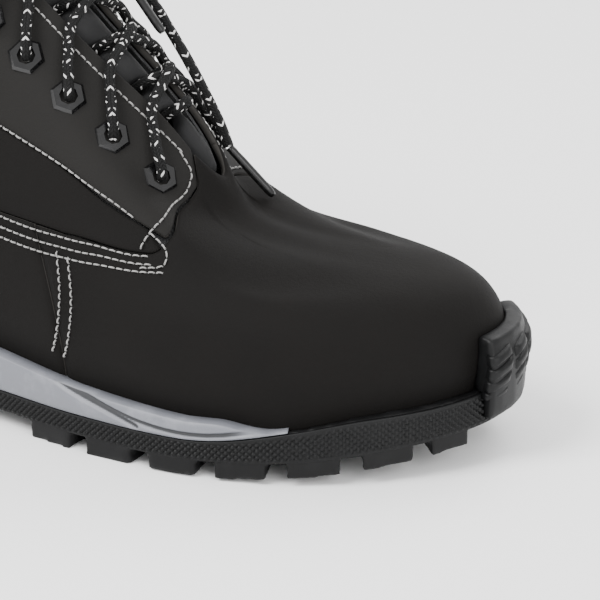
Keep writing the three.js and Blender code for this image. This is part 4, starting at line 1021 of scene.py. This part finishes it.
# ---------------------------------------------------------------------------------------------
# Studio
# ---------------------------------------------------------------------------------------------
@dataclass
class Studio:
    """Pale floor, soft light and the camera."""

    aim: tuple[float, float, float] = (0.05685, 0.0005, 0.05)
    azimuth: float = 30.0
    elevation: float = 21.0
    distance: float = 1.1
    lens: float = 198.0
    turn_right: float = 0.02487
    turn_down: float = 0.00983

    def camera(self) -> None:
        """A long lens from above the toe's outer side."""
        a, e = math.radians(self.azimuth), math.radians(self.elevation)
        back = Vector((math.sin(a) * math.cos(e), -math.cos(a) * math.cos(e), math.sin(e)))
        right = Vector((math.cos(a), math.sin(a), 0))
        up = Vector((-math.sin(a) * math.sin(e), math.cos(a) * math.sin(e), math.cos(e)))
        aim = Vector(self.aim)
        place = aim + back * self.distance
        look = aim + right * self.turn_right - up * self.turn_down
        data = bpy.data.cameras.new("camera")
        data.lens, data.sensor_width, data.clip_start = self.lens, 36.0, 0.01
        camera = bpy.data.objects.new("camera", data)
        camera.location = place
        camera.rotation_euler = (look - place).to_track_quat("-Z", "Y").to_euler()
        bpy.context.scene.collection.objects.link(camera)
        bpy.context.scene.camera = camera

    def light(self, name: str, place: tuple[float, float, float], size: float, power: float) -> None:
        """One large soft light that faces the boot."""
        data = bpy.data.lights.new(name, "AREA")
        data.shape, data.size, data.energy = "DISK", size, power
        lamp = bpy.data.objects.new(name, data)
        lamp.location = place
        lamp.rotation_euler = (Vector((0, 0, 0.06)) - Vector(place)).to_track_quat("-Z", "Y").to_euler()
        bpy.context.scene.collection.objects.link(lamp)

    def build(self) -> None:
        """Builds the studio."""
        self.camera()
        self.light("key", (-0.5, -0.9, 1.3), 0.9, 34)
        self.light("fill", (1.2, -0.7, 0.7), 1.0, 14)
        self.light("rim", (0.2, 1.0, 1.0), 0.9, 9)
        world = bpy.data.worlds.new("studio")
        bpy.context.scene.world = world
        world.use_nodes = True
        world.node_tree.nodes["Background"].inputs[0].default_value = (1, 1, 1, 1)
        world.node_tree.nodes["Background"].inputs[1].default_value = 1.5
        data = bpy.data.meshes.new("floor")
        data.from_pydata([(-6, -6, 0), (6, -6, 0), (6, 6, 0), (-6, 6, 0)], [], [(0, 1, 2, 3)])
        floor = bpy.data.objects.new("floor", data)
        material = bpy.data.materials.new("floor_paper")
        material.use_nodes = True
        shader = material.node_tree.nodes["Principled BSDF"]
        shader.inputs["Base Color"].default_value = (0.95, 0.95, 0.95, 1)
        shader.inputs["Roughness"].default_value = 0.8
        data.materials.append(material)
        bpy.context.scene.collection.objects.link(floor)


# ---------------------------------------------------------------------------------------------
# CAD pieces that keep their shape
# ---------------------------------------------------------------------------------------------
@dataclass
class Kept:
    """CAD nodes whose shape is right and which only take a better material."""

    wardrobe: Wardrobe
    frame: dict
    finishes: dict[str, str] = field(default_factory=lambda: {
        "shank": "cap_steel", "insole_board": "fibre_board", "heel_counter": "fibre_board",
        "steel_toe_cap": "cap_steel", "cap_edge_strip": "tread_rubber",
        "eyelet_stay_lateral": "lining_mesh", "eyelet_stay_medial": "lining_mesh"})

    def build(self) -> None:
        """Dresses the nodes."""
        names = dict(self.finishes)
        names.update({n: "eyelet_paint" for n in self.frame["nodes"] if n.startswith("eyelet_")
                      and not n.startswith("eyelet_stay")})
        for node, finish in names.items():
            piece = self.frame["nodes"][node]
            for slot in piece.material_slots:
                slot.material = self.wardrobe[finish]
            LOG.info("%s: kept, %s", node, finish)


# ---------------------------------------------------------------------------------------------
# Sole
# ---------------------------------------------------------------------------------------------
@dataclass
class Sole:
    """Sculpted midsole wall, knurled rubber sidewall and the ribbed toe bumper."""

    wardrobe: Wardrobe
    margin: float = 5.0
    tread: float = 5.0
    spring_height: float = 8.5
    spring_start: float = 60.0
    rubber_side: float = 13.0
    taper: tuple[float, float] = (72.0, 128.0)
    groove_width: float = 1.5
    groove_depth: float = 1.3
    knurl_pitch: float = 2.2
    midsole_end: float = 0.392
    grooves: tuple = (
        ((12, 29), (33, 21.5), (48, 17.5), (58, 14.5)), ((31, 23), (60, 16.2), (79, 15.2), (100, 19)),
        ((-2, 30), (-22, 23), (-60, 20.5), (-104, 21.5)), ((-30, 29), (-66, 26.5), (-116, 27.5), (-146, 26)),
        ((-96, 16.8), (-120, 17.5), (-146, 20), (-160, 21)), ((-20, 17.5), (-48, 16), (-80, 16.5), (-92, 17)),
    )

    def foot_line(self, t: Array) -> tuple[Array, Array]:
        """Feather edge points before centring, and the level direction out from them."""
        p = LAST.point(t, 0.0)
        along = LAST.point(t + 0.002, 0.0) - LAST.point(t - 0.002, 0.0)
        out = np.cross(along, [0, 0, 1.0])
        out[..., 2] = 0
        return p + np.array(LAST.origin), unit(out)

    def feather(self, x: Array) -> Array:
        """Height of the feather edge."""
        row = np.array(LAST.rows[0], float)
        return np.interp(x, row[:, 0], row[:, 1])

    def spring(self, x: Array) -> Array:
        """How far the sole has risen towards the toe."""
        rise = np.clip((x - self.spring_start) / (152 - self.spring_start), 0, None)
        return self.spring_height * rise ** 2

    def rubber_top(self, x: Array) -> Array:
        """Upper edge of the rubber sidewall."""
        f = smooth(*self.taper, x)
        return self.rubber_side * (1 - f) + (self.feather(x) + 0.4) * f

    def wall(self, t: Array, offset: Array, z: Array) -> Array:
        """Points round the sole at an offset and a height, centred."""
        p, out = self.foot_line(t)
        q = p + out * np.broadcast_to(offset, t.shape)[..., None]
        q[..., 2] = z
        return q - np.array(LAST.origin)

    def midsole(self) -> bpy.types.Object:
        """The grey foam wall, with its drooping grooves. The core under the foot isn't seen."""
        t, f = np.meshgrid(np.linspace(-self.midsole_end, self.midsole_end, 900), np.linspace(0, 1, 26),
                           indexing="ij")
        p, _ = self.foot_line(t)
        x = p[..., 0]
        low = self.rubber_top(x) + 0.2
        runs_out = smooth(0.0, 0.03, self.midsole_end - np.abs(t))
        high = low + np.maximum(self.feather(x) + 0.1 - low, 0.3) * (0.04 + 0.96 * runs_out)
        z = low + (high - low) * f
        cut = np.zeros_like(z)
        for points in self.grooves:
            line = catmull(points, 0.6)
            gap = np.full(z.shape, 1e9)
            for q in line:
                gap = np.minimum(gap, (x - q[0]) ** 2 + (z - q[1]) ** 2)
            cut = np.maximum(cut, 1 - smooth(0.25, 1.0, np.sqrt(gap) / self.groove_width))
        belly = 1 - np.abs(2 * f - 1) ** 3
        body = smooth(0, 0.5, (high - low) / 3) * runs_out
        lift = self.margin - 0.1 + (0.5 + 0.9 * belly - self.groove_depth * cut * (0.4 + 0.6 * belly)) * body
        outer, inner = self.wall(t, lift, z), self.wall(t, -1.0 + 0 * z, z)
        verts, faces, raw = Maker.shell(outer, inner)
        # Painted shade: the foam is darkened inside the grooves, where shade falls, through the raw colour
        # channel.
        shade = smooth(0.45, 0.95, cut * body)[:-1, :-1].ravel()
        raw = 0 * raw
        raw[:len(shade)] = shade
        piece = Maker.mesh("midsole_wall", verts, faces, self.wardrobe["midsole_foam"], raw=raw)
        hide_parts("midsole")
        return piece

    def sidewall(self) -> bpy.types.Object:
        """Raised diamonds on the rubber's side, with plain lips above and below."""
        t, f = np.meshgrid(np.linspace(0, 1, 1900, endpoint=False), np.linspace(0, 1, 27), indexing="ij")
        p, _ = self.foot_line(t)
        x = p[..., 0]
        base = self.tread + self.spring(x) + 1.0
        z = base + (self.rubber_top(x) - 0.3 - base) * f
        first = LAST.point(np.append(t[:, 0], 1.0), 0.0)
        run = np.concatenate([[0], np.cumsum(np.linalg.norm(np.diff(first, axis=0), axis=1))])[:-1]
        count = round(run[-1] / self.knurl_pitch)
        u = (run / run[-1] * count)[:, None]
        v = (z - base) / self.knurl_pitch
        diamonds = np.minimum(np.abs(np.sin(math.pi * (u + v))), np.abs(np.sin(math.pi * (u - v))))
        inside = smooth(0.06, 0.12, f) * (1 - smooth(0.86, 0.92, f))
        lift = self.margin + 0.35 + inside * (1.0 * np.minimum(diamonds, 0.7) / 0.7 - 0.5)
        verts, faces, _ = Maker.shell(self.wall(t, lift, z), self.wall(t, self.margin - 1.0 + 0 * z, z),
                                      wrap=True)
        piece = Maker.mesh("sidewall_knurl", verts, faces, self.wardrobe["bumper_rubber"])
        return piece

    def bumper(self) -> bpy.types.Object:
        """Columns of slanting lugs that stand on the toe bumper."""
        s_per_mm = 1 / 6 / (LAST.point(0.51, 1 / 6)[2] - LAST.point(0.51, 0.0)[2])
        parts = []
        for column in np.linspace(0.487, 0.543, 4):
            for row in np.linspace(1.6, 13.6, 4):
                t, f = np.meshgrid(np.linspace(-1, 1, 9), np.linspace(-1, 1, 9), indexing="ij")
                tt = column + 0.0082 * t
                ss = (row + 1.55 * f + 1.0 * t) * s_per_mm
                rim = 1 - np.maximum(np.abs(t), np.abs(f)) ** 4
                fall = smooth(11, 19, ss / s_per_mm) * 2.2
                base = 9.5 - 1.3 - fall
                outer = LAST.skin(tt, ss, base + 1.5 * rim)
                inner = LAST.skin(tt, ss, base - 2.4)
                parts.append(Maker.shell(outer, inner))
        verts, faces = Maker.join(parts)
        piece = Maker.mesh("bumper_lugs", verts, faces, self.wardrobe["bumper_rubber"])
        return piece

    def build(self) -> None:
        """Builds the sole's shown details."""
        self.midsole()
        self.sidewall()
        self.bumper()


# ---------------------------------------------------------------------------------------------
# Soft pieces
# ---------------------------------------------------------------------------------------------
@dataclass
class Soft:
    """Padded and woven pieces, filled out from the space that their CAD solids hold."""

    wardrobe: Wardrobe
    frame: dict

    def fill(self, node: str, name: str, finish: str, slot: str, body: str, voxel: float,
             smoothing: int, shape: Callable[[Array, Array], Array] | None = None) -> bpy.types.Object:
        """Remeshes a copy of a CAD solid, rounds it and swells it.

        Args:
            node: The CAD node it stands for.
            name: Name of the new piece.
            finish: Its material.
            slot: The record's slot. Not used.
            body: The body it rides on.
            voxel: Size of the remesh, in millimetres.
            smoothing: Rounds of smoothing.
            shape: Gives each point's swell in millimetres from points and normals.

        Returns:
            The new piece.
        """
        work = bpy.data.objects.new("work", self.frame["nodes"][node].data.copy())
        bpy.context.scene.collection.objects.link(work)
        remesh = work.modifiers.new("remesh", "REMESH")
        remesh.mode, remesh.voxel_size = "VOXEL", voxel * MM
        rounder = work.modifiers.new("round", "SMOOTH")
        rounder.factor, rounder.iterations = 0.5, smoothing
        graph = bpy.context.evaluated_depsgraph_get()
        data = bpy.data.meshes.new_from_object(work.evaluated_get(graph))
        bpy.data.objects.remove(work)
        co = np.zeros(len(data.vertices) * 3)
        no = np.zeros(len(data.vertices) * 3)
        data.vertices.foreach_get("co", co)
        data.vertices.foreach_get("normal", no)
        co, no = co.reshape(-1, 3) / MM, no.reshape(-1, 3)
        if shape:
            co = co + no * shape(co, no)[:, None]
        data.vertices.foreach_set("co", (co * MM).ravel())
        data.materials.clear()
        data.materials.append(self.wardrobe[finish])
        data.polygons.foreach_set("use_smooth", [True] * len(data.polygons))
        data.update()
        piece = bpy.data.objects.new(name, data)
        bpy.context.scene.collection.objects.link(piece)
        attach(piece, body)
        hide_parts(node)
        LOG.info("%s: %d faces on %s", name, len(data.polygons), body)
        return piece

    def lining(self) -> bpy.types.Object:
        """The mesh lining, a closed sock-like shell behind the stiffeners."""
        t, s = np.meshgrid(np.linspace(0, 1, 260, endpoint=False), np.linspace(FOOT, 0.995, 60),
                           indexing="ij")
        outer = LAST.skin(t, s, -(PLY_FLOOR + PLY_GAP))
        verts, faces, _ = Maker.shell(outer, LAST.skin(t, s, -INSIDE), wrap=True)
        piece = Maker.mesh("lining_sock", verts, faces, self.wardrobe["lining_mesh"])
        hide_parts("lining")
        return piece

    def build(self) -> None:
        """Builds the soft pieces."""
        def quilt(co: Array, _: Array) -> Array:
            """Long shallow waves along the middle of the pad."""
            return 0.5 * np.sin(co[:, 0] * 0.16 + co[:, 2] * 0.05) * np.clip(1 - np.abs(co[:, 1]) / 16, 0, 1)

        self.fill("tongue", "tongue_pad", "tongue_cloth", "collar_cloth", "tongue", 1.3, 7, quilt)
        bed = self.fill("footbed", "footbed_pad", "footbed_cloth", "footbed_foam", "footbed", 2.0, 6)
        rib = lambda co, _: 0.08 * np.sin(co[:, 1] * 5.2)
        self.fill("heel_pull_loop", "pull_loop_webbing", "webbing", "webbing", "pull_loop", 0.5, 3, rib)
        self.fill("heel_loop_tab", "loop_tab_webbing", "webbing", "webbing", BODY, 0.5, 3, rib)
        def worn(co: Array, no: Array) -> Array:
            """Fine ripples on the upright edge, low down."""
            side = np.clip(1 - np.abs(no[:, 2]), 0, 1) * (co[:, 2] < 8)
            return 0.12 * side * np.sin(co[:, 2] * 3.4)

        self.fill("outsole", "outsole_moulded", "tread_rubber", "tread_rubber", BODY, 1.1, 2, worn)
        self.fill("toe_bumper", "toe_bumper_moulded", "bumper_rubber", "bumper_rubber", BODY, 0.8, 14)
        for side in Side:
            node = f"quarter_padding_{side.label}"
            self.fill(node, f"ankle_foam_{side.label}", "footbed_cloth", "footbed_foam", BODY, 0.9,
                                2)
        self.lining()


def main() -> None:
    """Builds the boot round its frame."""
    logging.basicConfig(level=logging.INFO, format="%(name)s %(message)s")
    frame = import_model()
    Studio().build()
    wardrobe = Wardrobe()
    Lacing(wardrobe, Throat()).build()
    Kept(wardrobe, frame).build()
    Upper(wardrobe).build()
    Sole(wardrobe).build()
    Soft(wardrobe, frame).build()


if __name__ == "__main__":
    main()
